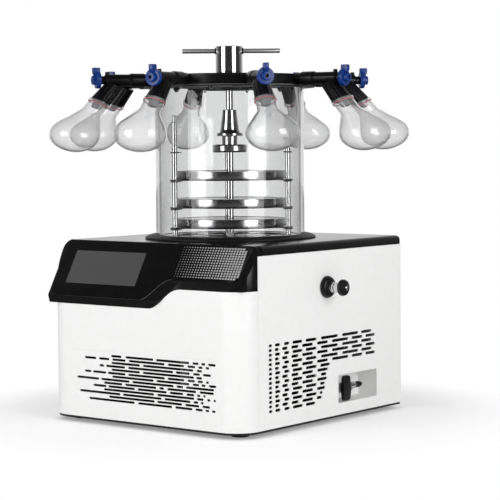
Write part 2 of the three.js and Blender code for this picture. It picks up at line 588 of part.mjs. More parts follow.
// stepped sleeve that slides down over the centre column
function pressBoss() {
  const bore = ROD_R + SLEEVE_PLAY;
  const steps = BOSS_STEPS.map(([r, down]) => [r, BOSS_TOP - down]);
  const foot = steps[0][1];
  return turned([[bore, foot], ...steps, [0, BOSS_TOP], [0, BOSS_TOP - BOSS.bore],
    [bore, BOSS_TOP - BOSS.bore], [bore, foot]], 16);
}

// ---------------------------------------------------------------- ports
// cone along the flask's axis, between two distances from the flask's mouth
function legPiece(r0, r1, s0, s1, seg) {
  const middle = (s0 + s1) / 2;
  return new THREE.CylinderGeometry(r0, r1, s1 - s0, seg).rotateY(Math.PI / seg)
    .rotateX(Math.PI / 2).applyMatrix4(SLANT).rotateY(-TILT)
    .translate(MOUTH.x + middle * Math.sin(TILT), 0, MOUTH.z - middle * Math.cos(TILT));
}

// one port points along +X; its group turns it round the manifold
function valveBody() {
  const { r, collarR, collar } = ARM;
  const rim = LID.r + GAP;
  const end = MOUTH.x - ARM.end;
  const c = collar.map((x) => LID.r + x);
  const arm = turned([[0, rim], [r, rim], [r, c[0]], [collarR, c[0]], [collarR, c[1]],
    [r, c[1]], [r, end], [SPIGOT.neckR, KNOB_X - GAP], [SPIGOT.r, KNOB_X - GAP],
    [SPIGOT.r, KNOB_X + SPIGOT.l], [0, KNOB_X + SPIGOT.l]], 10)
    .rotateY(Math.PI / 2).translate(0, 0, PORT_Z);
  const nub = rod(NUB.r, NUB.tip, PORT_Z + NUB.from, PORT_Z + NUB.h, 6, MOUTH.x - NUB.back);
  const top = LEG.sink - ARM.drop / Math.cos(TILT);
  const plugR = FLASK.neckR - PLUG.play;
  return surface(solid(arm).add(solid(nub))
    .add(solid(legPiece(LEG.topR, LEG.r, top, -GAP, 12)))
    .add(solid(legPiece(plugR, plugR - PLUG.taper, -EPS, PLUG.l, 8))));
}

function valveKnob() {
  const { disc, r, bossR, bossL, boreR, boreL } = KNOB;
  const face = KNOB_X + disc;
  const x1 = face + bossL;
  const spigot = SPIGOT.r + SPIGOT.play;
  let s = solid(rodX(r, r, KNOB_X, face, 12).rotateX(15 * RAD).translate(0, 0, PORT_Z));
  s = s.add(solid(rodX(bossR, bossR - 1, face - EPS, x1, 8, 0, PORT_Z)));
  s = s.add(solid(box([KNOB_X, KNOB_X + TAB.d], [-TAB.w / 2, TAB.w / 2],
    [PORT_Z + TAB.from, PORT_Z + TAB.h])));
  s = s.subtract(solid(rodX(spigot, spigot, KNOB_X - EPS, KNOB_X + SPIGOT.l + 0.5, 8, 0,
    PORT_Z)));
  return surface(s.subtract(solid(rodX(boreR, boreR, x1 - boreL, x1 + EPS, 6, 0, PORT_Z))));
}

// pear-shaped bulb between the neck's end and the bottom, as (distance, radius)
const bulb = (neckEnd, r, length) =>
  BULB.map(([along, out]) => [neckEnd + along * (length - neckEnd), out * r]);

// the bulb is a little flattened and hangs below the neck's axis; the mouth is slanted
function hung(geometry) {
  const at = geometry.attributes.position;
  for (let i = 0; i < at.count; i += 1) {
    const t = THREE.MathUtils.smoothstep(-at.getZ(i), FLASK.neckL, FLASK.neckL + FLASK.bend);
    at.setX(i, at.getX(i) * (1 - FLASK.squash * t) - FLASK.hang * t);
  }
  return geometry.applyMatrix4(SLANT);
}

// thick-walled flask; distances run from the mouth towards the bottom
function flask() {
  const { neckR, neckWall, lip, lipH, neckL, flareIn, bulbR, length, wall } = FLASK;
  const neck = neckR + neckWall;
  const outside = [[0, neck + lip], [lipH, neck + lip], [lipH + 0.5, neck], [neckL, neck],
    ...bulb(neckL, bulbR, length)];
  const inside = [[0, neckR], [neckL + flareIn, neckR],
    ...bulb(neckL + flareIn, bulbR - wall, length - wall)];
  const profile = [...outside, ...inside.reverse(), outside[0]];
  return hung(turned(profile.map(([s, r]) => [r, -s]), 10));
}

function ports() {
  const body = valveBody();
  const knob = valveKnob();
  const glass = flask();
  PORT_TURNS.forEach((turn, i) => {
    const port = new THREE.Group();
    port.rotation.z = turn * RAD;
    group.add(port);
    add(`valve_body_${i + 1}`, body, BLACK, port);
    add(`valve_knob_${i + 1}`, knob, BLUE, port);
    const f = add(`flask_${i + 1}`, glass, GLASS, port);
    f.position.set(MOUTH.x, 0, MOUTH.z);
    f.rotation.y = -TILT;
  });
}

// ---------------------------------------------------------------- side fittings
// turned shape on the right wall at the relief port
const onRelief = (geometry) => geometry.rotateY(Math.PI / 2)
  .translate(HALF_W, RELIEF.y, CAP_Z0 - RELIEF.below);

function reliefBody() {
  return onRelief(surface(solid(turned(RELIEF_FLANGE, 16))
    .add(solid(turned(RELIEF_STEM, 12)))));
}

function reliefKnob() {
  const { r, play, t, step, topR, nippleR, end } = RELIEF_KNOB;
  const [, , , , , , shoulder, spindle, tip] = RELIEF_STEM;
  const bore = spindle[0] + play;
  const x0 = shoulder[1] + GAP;
  const roof = tip[1] + 2 * GAP;
  return onRelief(turned([[bore, x0], [r, x0], [r, x0 + step], [topR, x0 + t], [nippleR, x0 + t],
    [nippleR, tip[1] + end], [0, tip[1] + end], [0, roof], [bore, roof], [bore, x0]], 16));
}

// tub behind the side panel's cut-out, with a rim that fits in the cut-out
function recessBox() {
  const { y, z, depth, wall } = RECESS;
  const face = HALF_W - SHEET - GAP;
  const x0 = face - depth;
  const outer = solid(box([x0, face], [y[0] - 4, y[1] + 4], [z[0] - 4, z[1] + 4]));
  const inner = solid(box([x0 + wall, HALF_W + SPARE], y, z));
  const r = DRAIN.stubR + GAP;
  const hole = solid(rodY(r, y[0] - SPARE, y[0] + SHEET, 12, VALVE.x, VALVE.z));
  const trim = solid(box([x0 - EPS, face - 3], [y[0] - wall, y[1] + wall],
    [z[0] - wall, z[1] + wall]));
  const rim = solid(box([face - 3.2, HALF_W], [y[0] - SPARE, y[1] + SPARE],
    [z[0] - SPARE, z[1] + SPARE]));
  return surface(outer.intersect(trim.add(rim)).subtract(inner).subtract(hole));
}

function drainValve() {
  const { x, z } = VALVE;
  const span = (part) => DRAIN_Y[part].map((y) => RECESS.y[0] + y);
  const piece = (r, part, seg) => solid(rodY(r, ...span(part), seg, x, z));
  const half = DRAIN.h / 2;
  return surface(piece(DRAIN.stubR, 'stub', 12)
    .add(solid(box([x - DRAIN.side[0], x + DRAIN.side[1]], span('body'), [z - half, z + half])))
    .add(piece(DRAIN_R.collar, 'collar', 10))
    .add(piece(DRAIN_R.nozzle, 'nozzle', 8))
    .add(piece(DRAIN_R.barb, 'barb', 8))
    .subtract(piece(DRAIN_R.bore, 'bore', 6)));
}

function drainLever() {
  const w = LEVER.w / 2;
  const h = LEVER.h / 2;
  const x = VALVE.x + DRAIN.side[1] + GAP;
  const y = RECESS.y[0] + DRAIN_Y.lever;
  return alongX(roundedRect([y - w, y + w], [VALVE.z - h, VALVE.z + h], LEVER.r), x,
    x + LEVER.t, 4);
}

// ---------------------------------------------------------------- inside and rear
function compressor() {
  return turned(COMPRESSOR_STEPS.map(([r, z]) => [r, PANEL_Z0 + z]), 18)
    .translate(-HALF_W + COMPRESSOR.side, FRONT + COMPRESSOR.front, 0);
}

// finned block with the fan motor's stub on its front
function condenser() {
  return surface(solid(box(CONDENSER.x, CONDENSER_Y, [PANEL_Z0, PANEL_Z0 + CONDENSER.h]))
    .add(solid(rodY(FAN.axleR, FAN_Y1 + FAN.run, CONDENSER_Y[0] + EPS, 12, FAN.x, FAN.z))));
}

function condenserFan() {
  let s = solid(rodY(FAN.hubR, -FAN.hubL / 2, FAN.hubL / 2, 16));
  for (let i = 0; i < 5; i += 1) {
    s = s.add(solid(box([-FAN.blade / 2, FAN.blade / 2], [-FAN.bladeT / 2, FAN.bladeT / 2],
      [FAN.hubR / 2, FAN.bladeR]).rotateZ(FAN.pitchTurn).rotateY(i * 72 * RAD)));
  }
  return surface(s).translate(FAN.x, FAN_Y1 - FAN.hubL / 2, FAN.z);
}

// well in the inlet's block, inside its sides and between two heights
function inletWell({ side, z, depth }) {
  return solid(box([INLET_X[0] + side, INLET_X[1] - side], [BACK - depth, BACK + SPARE],
    [INLET.z[0] + z[0], INLET.z[0] + z[1]]));
}

function powerInlet() {
  const { z, rim, t, depth } = INLET;
  const plate = solid(box([INLET_X[0] - rim, INLET_X[1] + rim], [BACK + GAP, BACK + t],
    [z[0] - rim, z[1] + rim]));
  const block = solid(box([INLET_X[0] + 1, INLET_X[1] - 1], [BACK - depth, BACK + EPS],
    [z[0] + 1, z[1] - 1]));
  let s = plate.add(block).subtract(inletWell(SOCKET)).subtract(inletWell(SWITCH));
  const middle = (INLET_X[0] + INLET_X[1]) / 2;
  for (const [dx, up] of PINS) {
    const x = middle + dx;
    const h = z[0] + up;
    s = s.add(solid(box([x - PIN.w / 2, x + PIN.w / 2], [BACK - PIN.from, BACK - PIN.to],
      [h - PIN.h / 2, h + PIN.h / 2])));
  }
  return surface(s);
}

// rocker with two raised ends; it tilts about its middle
function rockerSwitch() {
  const middle = INLET.z[0] + (SWITCH.z[0] + SWITCH.z[1]) / 2;
  const half = [[-8, 10.5], [-3, 11.5], [0.2, 11.8], [3.4, 11], [0.6, 0]];
  const s = [...half.map(([y, z]) => [y, -z]), ...half.slice(0, 4).reverse()]
    .map(([y, z]) => [BACK + y, middle + z]);
  return alongX(outline(s), INLET_X[0] + SWITCH.side + GAP, INLET_X[1] - SWITCH.side - GAP);
}

// ---------------------------------------------------------------- assembly
add('base_tray', baseTray(), BLACK);
[[-1, -1], [1, -1], [-1, 1], [1, 1]].forEach(([sx, sy], i) => {
  const foot = add(`foot_${i + 1}`, rod(FOOT.r - FOOT.taper, FOOT.r, 0, FOOT.h, 20), RUBBER);
  foot.position.set(sx * (HALF_W - FOOT.side), sy > 0 ? BACK - FOOT.back : FRONT + FOOT.front,
    0);
});
add('front_panel', frontPanel(), WHITE);
add('side_panel_right', sidePanel(1), WHITE);
add('side_panel_left', sidePanel(-1), WHITE);
add('rear_panel', rearPanel(), WHITE);
add('top_cap', topCap(), BLACK);
add('fascia', fascia(), GLOSS_BLACK);
add('touch_screen', touchScreen(), SCREEN_GREY);
add('cold_trap', coldTrap(), STEEL);
add('base_ring', baseRing(), BLACK);
add('chamber_tube', chamberTube(), ACRYLIC);
add('rack_frame', rackFrame(), STEEL);
SHELF_RISE.forEach((rise, i) => add(`shelf_${i + 1}`, shelf(rise), SATIN));
add('lid_disc', lidDisc(), BLACK);
add('lid_seal', lidSeal(), SEAL);
add('handle_hub', handleHub(), STEEL);
add('handle_bar', handleBar(), STEEL);
add('press_rod', pressRod(), STEEL);
add('press_boss', pressBoss(), STEEL);
ports();
add('relief_valve', reliefBody(), BRASS);
add('relief_knob', reliefKnob(), BLACK);
add('recess_box', recessBox(), WHITE);
add('drain_valve', drainValve(), BRASS);
add('drain_lever', drainLever(), BLACK);
add('compressor', compressor(), BLACK);
add('condenser', condenser(), FIN);
add('condenser_fan', condenserFan(), BLACK);
add('power_inlet', powerInlet(), BLACK);
add('rocker_switch', rockerSwitch(), BLACK);

// origin: centre of the footprint at bench level
group.updateMatrixWorld(true);
const extent = new THREE.Box3().setFromObject(group, true);
group.position.set(-(extent.min.x + extent.max.x) / 2, -(extent.min.y + extent.max.y) / 2,
  -extent.min.z);

export default group;
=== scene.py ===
"""Visual model of a benchtop freeze dryer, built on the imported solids.

Lengths are in millimetres about the chamber's axis until make() turns them into metres.
"""
import math

import bmesh
import bpy
from mathutils import Matrix, Vector
from mathutils.geometry import tessellate_polygon

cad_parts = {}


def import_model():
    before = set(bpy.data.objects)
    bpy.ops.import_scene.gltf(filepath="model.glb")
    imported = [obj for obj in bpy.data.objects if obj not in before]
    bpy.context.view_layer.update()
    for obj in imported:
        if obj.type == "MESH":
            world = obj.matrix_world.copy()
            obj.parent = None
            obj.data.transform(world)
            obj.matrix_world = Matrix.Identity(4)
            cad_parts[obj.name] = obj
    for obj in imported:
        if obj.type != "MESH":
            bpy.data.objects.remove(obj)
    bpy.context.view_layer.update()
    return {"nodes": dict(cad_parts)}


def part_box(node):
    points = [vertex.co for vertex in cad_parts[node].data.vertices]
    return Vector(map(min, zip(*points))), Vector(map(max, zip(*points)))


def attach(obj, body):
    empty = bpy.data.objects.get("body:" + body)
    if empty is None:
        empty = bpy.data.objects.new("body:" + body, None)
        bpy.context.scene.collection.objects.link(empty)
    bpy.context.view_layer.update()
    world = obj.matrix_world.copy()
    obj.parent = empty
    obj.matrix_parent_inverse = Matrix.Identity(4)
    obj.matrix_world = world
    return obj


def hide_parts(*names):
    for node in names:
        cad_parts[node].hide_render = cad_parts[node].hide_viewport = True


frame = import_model()

MM = 0.001
RAD = math.pi / 180


def axis_place():
    low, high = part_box("chamber_tube")
    return Vector(((low.x + high.x) / 2, (low.y + high.y) / 2, 0)) / MM


AXIS = axis_place()


def span(node):
    """A node's lowest and highest corner, in millimetres about the chamber's axis."""
    low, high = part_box(node)
    return low / MM - AXIS, high / MM - AXIS


def foot_point(node):
    """Matrix to the middle of a node's footprint, at the bench."""
    low, high = span(node)
    return Matrix.Translation(((low.x + high.x) / 2, (low.y + high.y) / 2, 0))


# ---------------- driving sizes
GAP = 0.3
PANEL = span("front_panel")
SIDE = span("side_panel_right")
HALF_W = PANEL[1].x
FRONT = PANEL[0].y
BACK = SIDE[1].y
PANEL_Z0 = PANEL[0].z
CAP_Z = (span("top_cap")[0].z, span("top_cap")[1].z)
CORNER_R = PANEL[1].y - FRONT
SHEET = 2.0
SLOPE = 60 * RAD                 # fascia, from the horizontal
SLOPE_Z = 250.0
FASCIA_HALF_W = 234.0
FASCIA_TOP_V = 112.0
FASCIA_R = 26.0
FASCIA_BACK = 62.0
LIP_LOW, LIP_HIGH = 228.3, 267.0
LIP_X = (18.0, 98.0)
LIP_RISE = 0.842
SCREEN_U = (span("touch_screen")[0].x, span("touch_screen")[1].x)
SCREEN_V = (19.0, 88.5)

TRAP_R = 83.0
RING_R = span("base_ring")[1].x
RING_Z = (span("base_ring")[0].z, span("base_ring")[1].z)
TUBE_RO = span("chamber_tube")[1].x
TUBE_RI = TUBE_RO - 10
TUBE_Z = (span("chamber_tube")[0].z, span("chamber_tube")[1].z)
LID_R = 158.0
LID_FLANGE_R = span("lid_disc")[1].x
LID_Z = (643.0, 645.0, span("lid_disc")[1].z)
LID_UNDER = 640.5
HUB_R = span("handle_hub")[1].x
HUB_Z = (span("handle_hub")[0].z, span("handle_hub")[1].z)
BAR_R = 4.5
BAR_ENDS = (-92.0, 100.0)
BAR_TURN = 38.1 * RAD
BAR_Z = 713.0
ROD_R = 7.0
RACK_Z = (350.6, 354.6)
POST_R, POST_RING, POST_TOP = 5.0, 126.0, 587.0
POST_TURNS = (-108.9, 11.1, 131.1)
COLUMN_TOP = 545.0
SHELF_R, SHELF_PLATE, SHELF_CARRIER = 110.0, 15.2, 3.0
SHELF_TOPS = tuple(span(f"shelf_{i}")[1].z for i in (1, 2, 3))

PORT_TURNS = (-123.4, -82.9, -36.9, 3.1, 46.1, 97.1, 146.1, 192.1)
PORT_Z = 655.0
PORT_R = 11.4
TILT = 41 * RAD
SLANT = math.tan(18 * RAD)       # how far a flask's mouth is turned towards level
MOUTH = Vector((260.0, 0, 614.0))
KNOB_X = 260.3
RELIEF = (-11.5, 260.7)
RECESS_Y, RECESS_Z, RECESS_DEPTH = (27.0, 157.0), (34.5, 88.5), 46.0
VALVE_X, VALVE_Z = 219.0, 59.5
FAN = (20.0, 120.0)
FAN_R = 68.0
INLET_X, INLET_Z = (-205.0, -155.0), (50.0, 112.0)
VACUUM_Z = 300.0


# ---------------- mesh tools
def make(name, verts, faces, material, **kw):
    """Turns points in millimetres into a piece that rides on a body."""
    return finish_mesh(name, bm_from(verts, faces), material, **kw)


def finish_mesh(name, bm, material, body="cabinet", replaces=(), smooth=35, place=None):
    if place is not None:
        bmesh.ops.transform(bm, matrix=place, verts=bm.verts)
    bmesh.ops.remove_doubles(bm, verts=bm.verts, dist=1e-4)
    bmesh.ops.recalc_face_normals(bm, faces=bm.faces)
    bmesh.ops.translate(bm, vec=AXIS, verts=bm.verts)
    bmesh.ops.scale(bm, vec=(MM, MM, MM), verts=bm.verts)
    mesh = bpy.data.meshes.new(name)
    bm.to_mesh(mesh)
    bm.free()
    piece = bpy.data.objects.new(name, mesh)
    bpy.context.scene.collection.objects.link(piece)
    mesh.shade_smooth()
    mesh.set_sharp_from_angle(angle=smooth * RAD)
    mesh.materials.append(material)
    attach(piece, body)
    if replaces:
        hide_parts(*replaces)
    return piece


def fillet(points, radius, steps=4, closed=True, only=None):
    """Rounds the corners of a polyline; only picks corners by index."""
    out = []
    n = len(points)
    for i, p in enumerate(points):
        if (not closed and i in (0, n - 1)) or (only is not None and i not in only):
            out.append(tuple(p))
            continue
        p = Vector(p)
        a, b = Vector(points[i - 1]) - p, Vector(points[(i + 1) % n]) - p
        reach = min(radius, a.length * 0.48, b.length * 0.48)
        a, b = p + a.normalized() * reach, p + b.normalized() * reach
        for k in range(steps + 1):
            t = k / steps
            out.append(tuple(a * (1 - t) ** 2 + p * 2 * t * (1 - t) + b * t * t))
    return out


def lathe_data(profile, seg, wave=None):
    """Turns (radius, height) points round Z; the profile closes on itself or on the axis."""
    verts, rings = [], []
    for r, z in profile:
        if r < 1e-6:
            rings.append([len(verts)])
            verts.append((0, 0, z))
            continue
        rings.append(list(range(len(verts), len(verts) + seg)))
        for i in range(seg):
            a = 2 * math.pi * i / seg
            rr = r * (wave(a) if wave else 1)
            verts.append((rr * math.cos(a), rr * math.sin(a), z))
    pairs = list(zip(rings, rings[1:]))
    if len(rings[0]) > 1 and len(rings[-1]) > 1:
        pairs.append((rings[-1], rings[0]))
    faces = []
    for a, b in pairs:
        for i in range(seg):
            j = (i + 1) % seg
            corners = [a[i % len(a)], a[j % len(a)], b[j % len(b)], b[i % len(b)]]
            corners = list(dict.fromkeys(corners))
            if len(corners) > 2:
                faces.append(corners)
    return verts, faces


def lathe(name, profile, material, seg=64, wave=None, **kw):
    return make(name, *lathe_data(profile, seg, wave), material, **kw)


def prism_data(loops, z0, z1):
    """Plate with holes: loops of (x, y), the first one outside."""
    flat = [p for loop in loops for p in loop]
    tris = tessellate_polygon([[Vector((x, y, 0)) for x, y in loop] for loop in loops])
    n = len(flat)
    verts = [(x, y, z0) for x, y in flat] + [(x, y, z1) for x, y in flat]
    faces = [tuple(reversed(t)) for t in tris] + [tuple(i + n for i in t) for t in tris]
    start = 0
    for loop in loops:
        m = len(loop)
        for i in range(m):
            a, b = start + i, start + (i + 1) % m
            faces.append((a, b, b + n, a + n))
        start += m
    return verts, faces


def slot_loop(ends, z, height, steps=5):
    """Vent slot with round ends."""
    r = height / 2
    a, b = ends[0] + r, max(ends[1] - r, ends[0] + r + 0.05)
    right = [(b + r * math.sin(k * math.pi / steps), z - r * math.cos(k * math.pi / steps))
             for k in range(steps + 1)]
    left = [(a - r * math.sin(k * math.pi / steps), z + r * math.cos(k * math.pi / steps))
            for k in range(steps + 1)]
    return right + left


def rect(x, y):
    return [(x[0], y[0]), (x[1], y[0]), (x[1], y[1]), (x[0], y[1])]


def round_rect(x, y, r, steps=6):
    return fillet(rect(x, y), r, steps)


def circle_loop(x, y, r, n=32):
    return [(x + r * math.cos(2 * math.pi * i / n), y + r * math.sin(2 * math.pi * i / n))
            for i in range(n)]


def to_axis(direction, origin=(0, 0, 0)):
    """Matrix that takes Z to a direction."""
    turn = Vector(direction).to_track_quat("Z", "Y").to_matrix().to_4x4()
    return Matrix.Translation(origin) @ turn


ALONG_X = Matrix(((0, 0, 1, 0), (1, 0, 0, 0), (0, 1, 0, 0), (0, 0, 0, 1)))
ALONG_Y = Matrix(((1, 0, 0, 0), (0, 0, 1, 0), (0, 1, 0, 0), (0, 0, 0, 1)))


def bm_from(verts, faces, place=None):
    bm = bmesh.new()
    rows = [bm.verts.new(v) for v in verts]
    for f in faces:
        bm.faces.new([rows[i] for i in f])
    if place is not None:
        bmesh.ops.transform(bm, matrix=place, verts=bm.verts)
    bmesh.ops.recalc_face_normals(bm, faces=bm.faces)
    return bm


def boolean(base, other, operation):
    """Exact boolean of two bmeshes in millimetres; both are used up."""
    objects = []
    for bm in (base, other):
        mesh = bpy.data.meshes.new("scratch")
        bm.to_mesh(mesh)
        bm.free()
        o = bpy.data.objects.new("scratch", mesh)
        bpy.context.scene.collection.objects.link(o)
        objects.append(o)
    mod = objects[0].modifiers.new("cut", "BOOLEAN")
    mod.operation = operation
    mod.object = objects[1]
    mod.solver = "EXACT"
    graph = bpy.context.evaluated_depsgraph_get()
    result = bpy.data.meshes.new_from_object(objects[0].evaluated_get(graph))
    out = bmesh.new()
    out.from_mesh(result)
    for o in objects:
        old = o.data
        bpy.data.objects.remove(o)
        bpy.data.meshes.remove(old)
    bpy.data.meshes.remove(result)
    return out


def soften(bm, width, segments=2, angle=30):
    """Rounds the sharp edges of a bmesh."""
    bmesh.ops.remove_doubles(bm, verts=bm.verts, dist=1e-3)
    bmesh.ops.dissolve_limit(bm, angle_limit=0.5 * RAD, verts=bm.verts, edges=bm.edges)
    sharp = [e for e in bm.edges
             if len(e.link_faces) == 2 and e.calc_face_angle(0) > angle * RAD]
    bmesh.ops.bevel(bm, geom=sharp, offset=width, segments=segments, profile=0.6,
                    affect="EDGES", clamp_overlap=True)
    return bm


def block(x, y, z):
    return bm_from(*prism_data([rect(x, y)], *z))


def rod_data(r, z0, z1, seg=32, edge=0.6):
    edge = min(edge, r * 0.45, (z1 - z0) * 0.3)
    profile = [(0, z0), (r - edge, z0), (r, z0 + edge), (r, z1 - edge), (r - edge, z1), (0, z1)]
    return lathe_data(profile, seg)


def join(parts):
    """Several (verts, faces) sets as one."""
    verts, faces = [], []
    for v, f in parts:
        n = len(verts)
        verts += [tuple(p) for p in v]
        faces += [tuple(i + n for i in face) for face in f]
    return verts, faces


def moved(data, place):
    verts, faces = data
    return [place @ Vector(v) for v in verts], faces


def tube_data(points, r, seg=12):
    """Round bar along a polyline, with closed ends."""
    pts = [Vector(p) for p in points]
    verts, faces = [], []
    side = None
    for i, p in enumerate(pts):
        ahead = (pts[min(i + 1, len(pts) - 1)] - pts[max(i - 1, 0)]).normalized()
        if side is None:
            side = ahead.orthogonal().normalized()
        side = (side - ahead * side.dot(ahead)).normalized()
        up = ahead.cross(side)
        verts += [p + r * (side * math.cos(2 * math.pi * k / seg)
                           + up * math.sin(2 * math.pi * k / seg)) for k in range(seg)]
    for i in range(len(pts) - 1):
        for k in range(seg):
            a, b = i * seg + k, i * seg + (k + 1) % seg
            faces.append((a, b, b + seg, a + seg))
    faces.append(tuple(range(seg)))
    faces.append(tuple(range((len(pts) - 1) * seg, len(pts) * seg)))
    return verts, faces


# ---------------- materials
class Graph:
    """Small helper that chains shader nodes."""

    def __init__(self, tree):
        self.tree = tree
        tree.nodes.clear()

    def node(self, kind, **inputs):
        """Adds a node; iN feeds the input at index N, and any other key the one so named."""
        n = self.tree.nodes.new(kind)
        for key, value in inputs.items():
            self.feed(n, key, value)
        return n

    def feed(self, n, key, value):
        socket = n.inputs[int(key[1:]) if key[0] == "i" and key[1:].isdigit() else key]
        if isinstance(value, bpy.types.NodeSocket):
            self.tree.links.new(value, socket)
        else:
            socket.default_value = value

    def math(self, operation, a, b=0.0, c=0.0, clamp=False):
        n = self.node("ShaderNodeMath", i0=a, i1=b, i2=c)
        n.operation = operation
        n.use_clamp = clamp
        return n.outputs[0]


SPECK_RAMP = (0.3, 0.7)
# Painted shade at glass rims: noise that sways how far the darkening reaches.
RIM_SHADE_SWAY, RIM_SHADE_WAVES = 0.06, 6
BUMP_REACH = 0.0003


def material(name, slot, colour, roughness, metallic=0.0, speck=0.0, speck_scale=60.0,
             stretch=(1, 1, 1), bump=0.0, bump_scale=900.0, rough_spread=0.0, coat=0.0,
             transmission=0.0, ior=1.5, specular=0.5, coat_rough=0.06, edge=None):
    """Principled material with procedural colour, roughness and relief in object space; edge adds
    painted shade towards the outline as the camera sees it.
    """
    m = bpy.data.materials.new(name)
    m.use_nodes = True
    g = Graph(m.node_tree)
    shader = g.node("ShaderNodeBsdfPrincipled", **{
        "Base Color": (*colour, 1), "Roughness": roughness, "Metallic": metallic, "IOR": ior,
        "Coat Weight": coat, "Coat Roughness": coat_rough, "Specular IOR Level": specular,
        "Transmission Weight": transmission})
    g.node("ShaderNodeOutputMaterial", Surface=shader.outputs[0])
    place = g.node("ShaderNodeTexCoord").outputs["Object"]
    grid = g.node("ShaderNodeMapping", Vector=place, Scale=stretch).outputs["Vector"]

    def noise(scale, **more):
        return g.node("ShaderNodeTexNoise", Vector=grid, Scale=scale, **more).outputs["Fac"]

    if speck:
        grain = noise(speck_scale, Detail=4)
        ramp = g.node("ShaderNodeValToRGB", Fac=grain)
        for end, at, gain in zip(ramp.color_ramp.elements, SPECK_RAMP, (1 - speck, 1 + speck)):
            end.position = at
            end.color = (*[min(1, c * gain) for c in colour], 1)
        g.feed(shader, "Base Color", ramp.outputs["Color"])
        if rough_spread:
            spread = g.node("ShaderNodeMapRange", **{
                "Value": grain, "To Min": roughness - rough_spread,
                "To Max": roughness + rough_spread})
            g.feed(shader, "Roughness", spread.outputs["Result"])
    # edge = (darkness, blend): painted shade, darkening the colour towards the outline as seen from
    # the camera.
    if edge:
        rim = g.node("ShaderNodeLayerWeight", Blend=edge[1]).outputs["Facing"]
        rim_shade = g.node("ShaderNodeMix")
        rim_shade.data_type = "RGBA"
        g.feed(rim_shade, "A", (*colour, 1))
        g.feed(rim_shade, "B", (*[c * edge[0] for c in colour], 1))
        g.feed(rim_shade, "Factor", g.math("MULTIPLY_ADD", noise(RIM_SHADE_WAVES), RIM_SHADE_SWAY, rim))
        g.feed(shader, "Base Color", rim_shade.outputs["Result"])
    if bump:
        relief = g.node("ShaderNodeBump", Strength=bump, Distance=BUMP_REACH,
                        Height=noise(bump_scale, Detail=3))
        g.feed(shader, "Normal", relief.outputs["Normal"])
    return m


WHITE = material("white_powder_coat", "white_paint", (0.84, 0.84, 0.835), 0.42, speck=0.012,
                 bump=0.12, bump_scale=1400, rough_spread=0.06)
GLOSS_BLACK = material("gloss_black_panel", "black_panel", (0.0035, 0.0035, 0.004), 0.14,
                       speck=0.15, speck_scale=30, rough_spread=0.03, specular=0.4)
CAP_BLACK = material("satin_black_cap", "black_panel", (0.0025, 0.0025, 0.003), 0.15,
                     specular=0.45, speck=0.12, speck_scale=40, rough_spread=0.03, bump=0.02)
FRAME_BLACK = material("satin_black_frame", "black_panel", (0.003, 0.003, 0.0035), 0.26,
                       speck=0.12, rough_spread=0.04, bump=0.04, specular=0.35)
PLASTIC = material("black_moulding", "black_plastic", (0.006, 0.006, 0.0065), 0.36, speck=0.15,
                   bump=0.15, rough_spread=0.06, specular=0.35)
LID_BLACK = material("black_anodised", "black_panel", (0.006, 0.006, 0.0065), 0.3,
                     metallic=0.2, speck=0.2, speck_scale=90, stretch=(1, 1, 4),
                     rough_spread=0.05, bump=0.06, specular=0.35)
RUBBER = material("black_rubber", "rubber", (0.007, 0.007, 0.007), 0.5, speck=0.2, bump=0.25,
                  bump_scale=700, rough_spread=0.08, specular=0.4)
ADAPTER = material("soft_adapter", "adapter_rubber", (0.0035, 0.0035, 0.004), 0.3, speck=0.2,
                   bump=0.12, bump_scale=500, rough_spread=0.06, specular=0.3)
SCREEN = material("blank_screen", "screen", (0.068, 0.068, 0.068), 0.3, speck=0.04,
                  speck_scale=8, rough_spread=0.03, coat=0.3)
STEEL = material("brushed_steel", "steel", (0.47, 0.47, 0.475), 0.18, metallic=1, speck=0.05,
                 speck_scale=25, stretch=(1, 1, 40), bump=0.06, bump_scale=60,
                 rough_spread=0.04)
POLISHED = material("bright_steel", "polished_steel", (0.66, 0.66, 0.665), 0.1, metallic=1,
                    speck=0.04, speck_scale=25, stretch=(1, 1, 60), bump=0.03,
                    bump_scale=60, rough_spread=0.03)
TURNED = material("turned_steel", "polished_steel", (0.8, 0.8, 0.805), 0.42, metallic=1,
                  speck=0.04, speck_scale=12, bump=0.02, bump_scale=200, rough_spread=0.03)
DARK_STEEL = material("dark_steel", "steel", (0.045, 0.045, 0.047), 0.35, metallic=0.8,
                      speck=0.2, bump=0.1, rough_spread=0.06)
SEAL = material("silicone_seal", "seal", (0.3, 0.3, 0.29), 0.5, speck=0.08, bump=0.1)
RED = material("red_gasket", "seal", (0.45, 0.13, 0.14), 0.45, speck=0.15, bump=0.1)
BLUE = material("royal_blue", "blue_plastic", (0.003, 0.032, 0.19), 0.28, speck=0.12,
                speck_scale=120, bump=0.08, rough_spread=0.06, specular=0.4)
# Dark brown: painted shade for the bottom of the knob's centre hole.
BORE_SHADE = material("painted_bore_shade", "black_plastic", (0.02, 0.012, 0.008), 0.5, speck=0.3,
                     bump=0.1)
STOPPER = material("ground_stopper", "flask_glass", (0.12, 0.125, 0.145), 0.4, speck=0.1,
                   bump=0.1)
FIN = material("fin_block", "fins", (0.5, 0.52, 0.54), 0.35, metallic=1, speck=0.2,
               speck_scale=60, stretch=(60, 1, 1), bump=0.5, bump_scale=10,
               rough_spread=0.06)
COPPER = material("copper_tube", "steel", (0.72, 0.33, 0.2), 0.3, metallic=1, speck=0.15,
                  bump=0.1)
GREY_METAL = material("grey_plated", "grey_metal", (0.33, 0.33, 0.335), 0.35, metallic=0.9,
                      speck=0.12, bump=0.1, rough_spread=0.06)
SILVER = material("silver_print", "black_panel", (0.5, 0.5, 0.5), 0.35, metallic=0.3,
                  speck=0.1, bump=0.05)
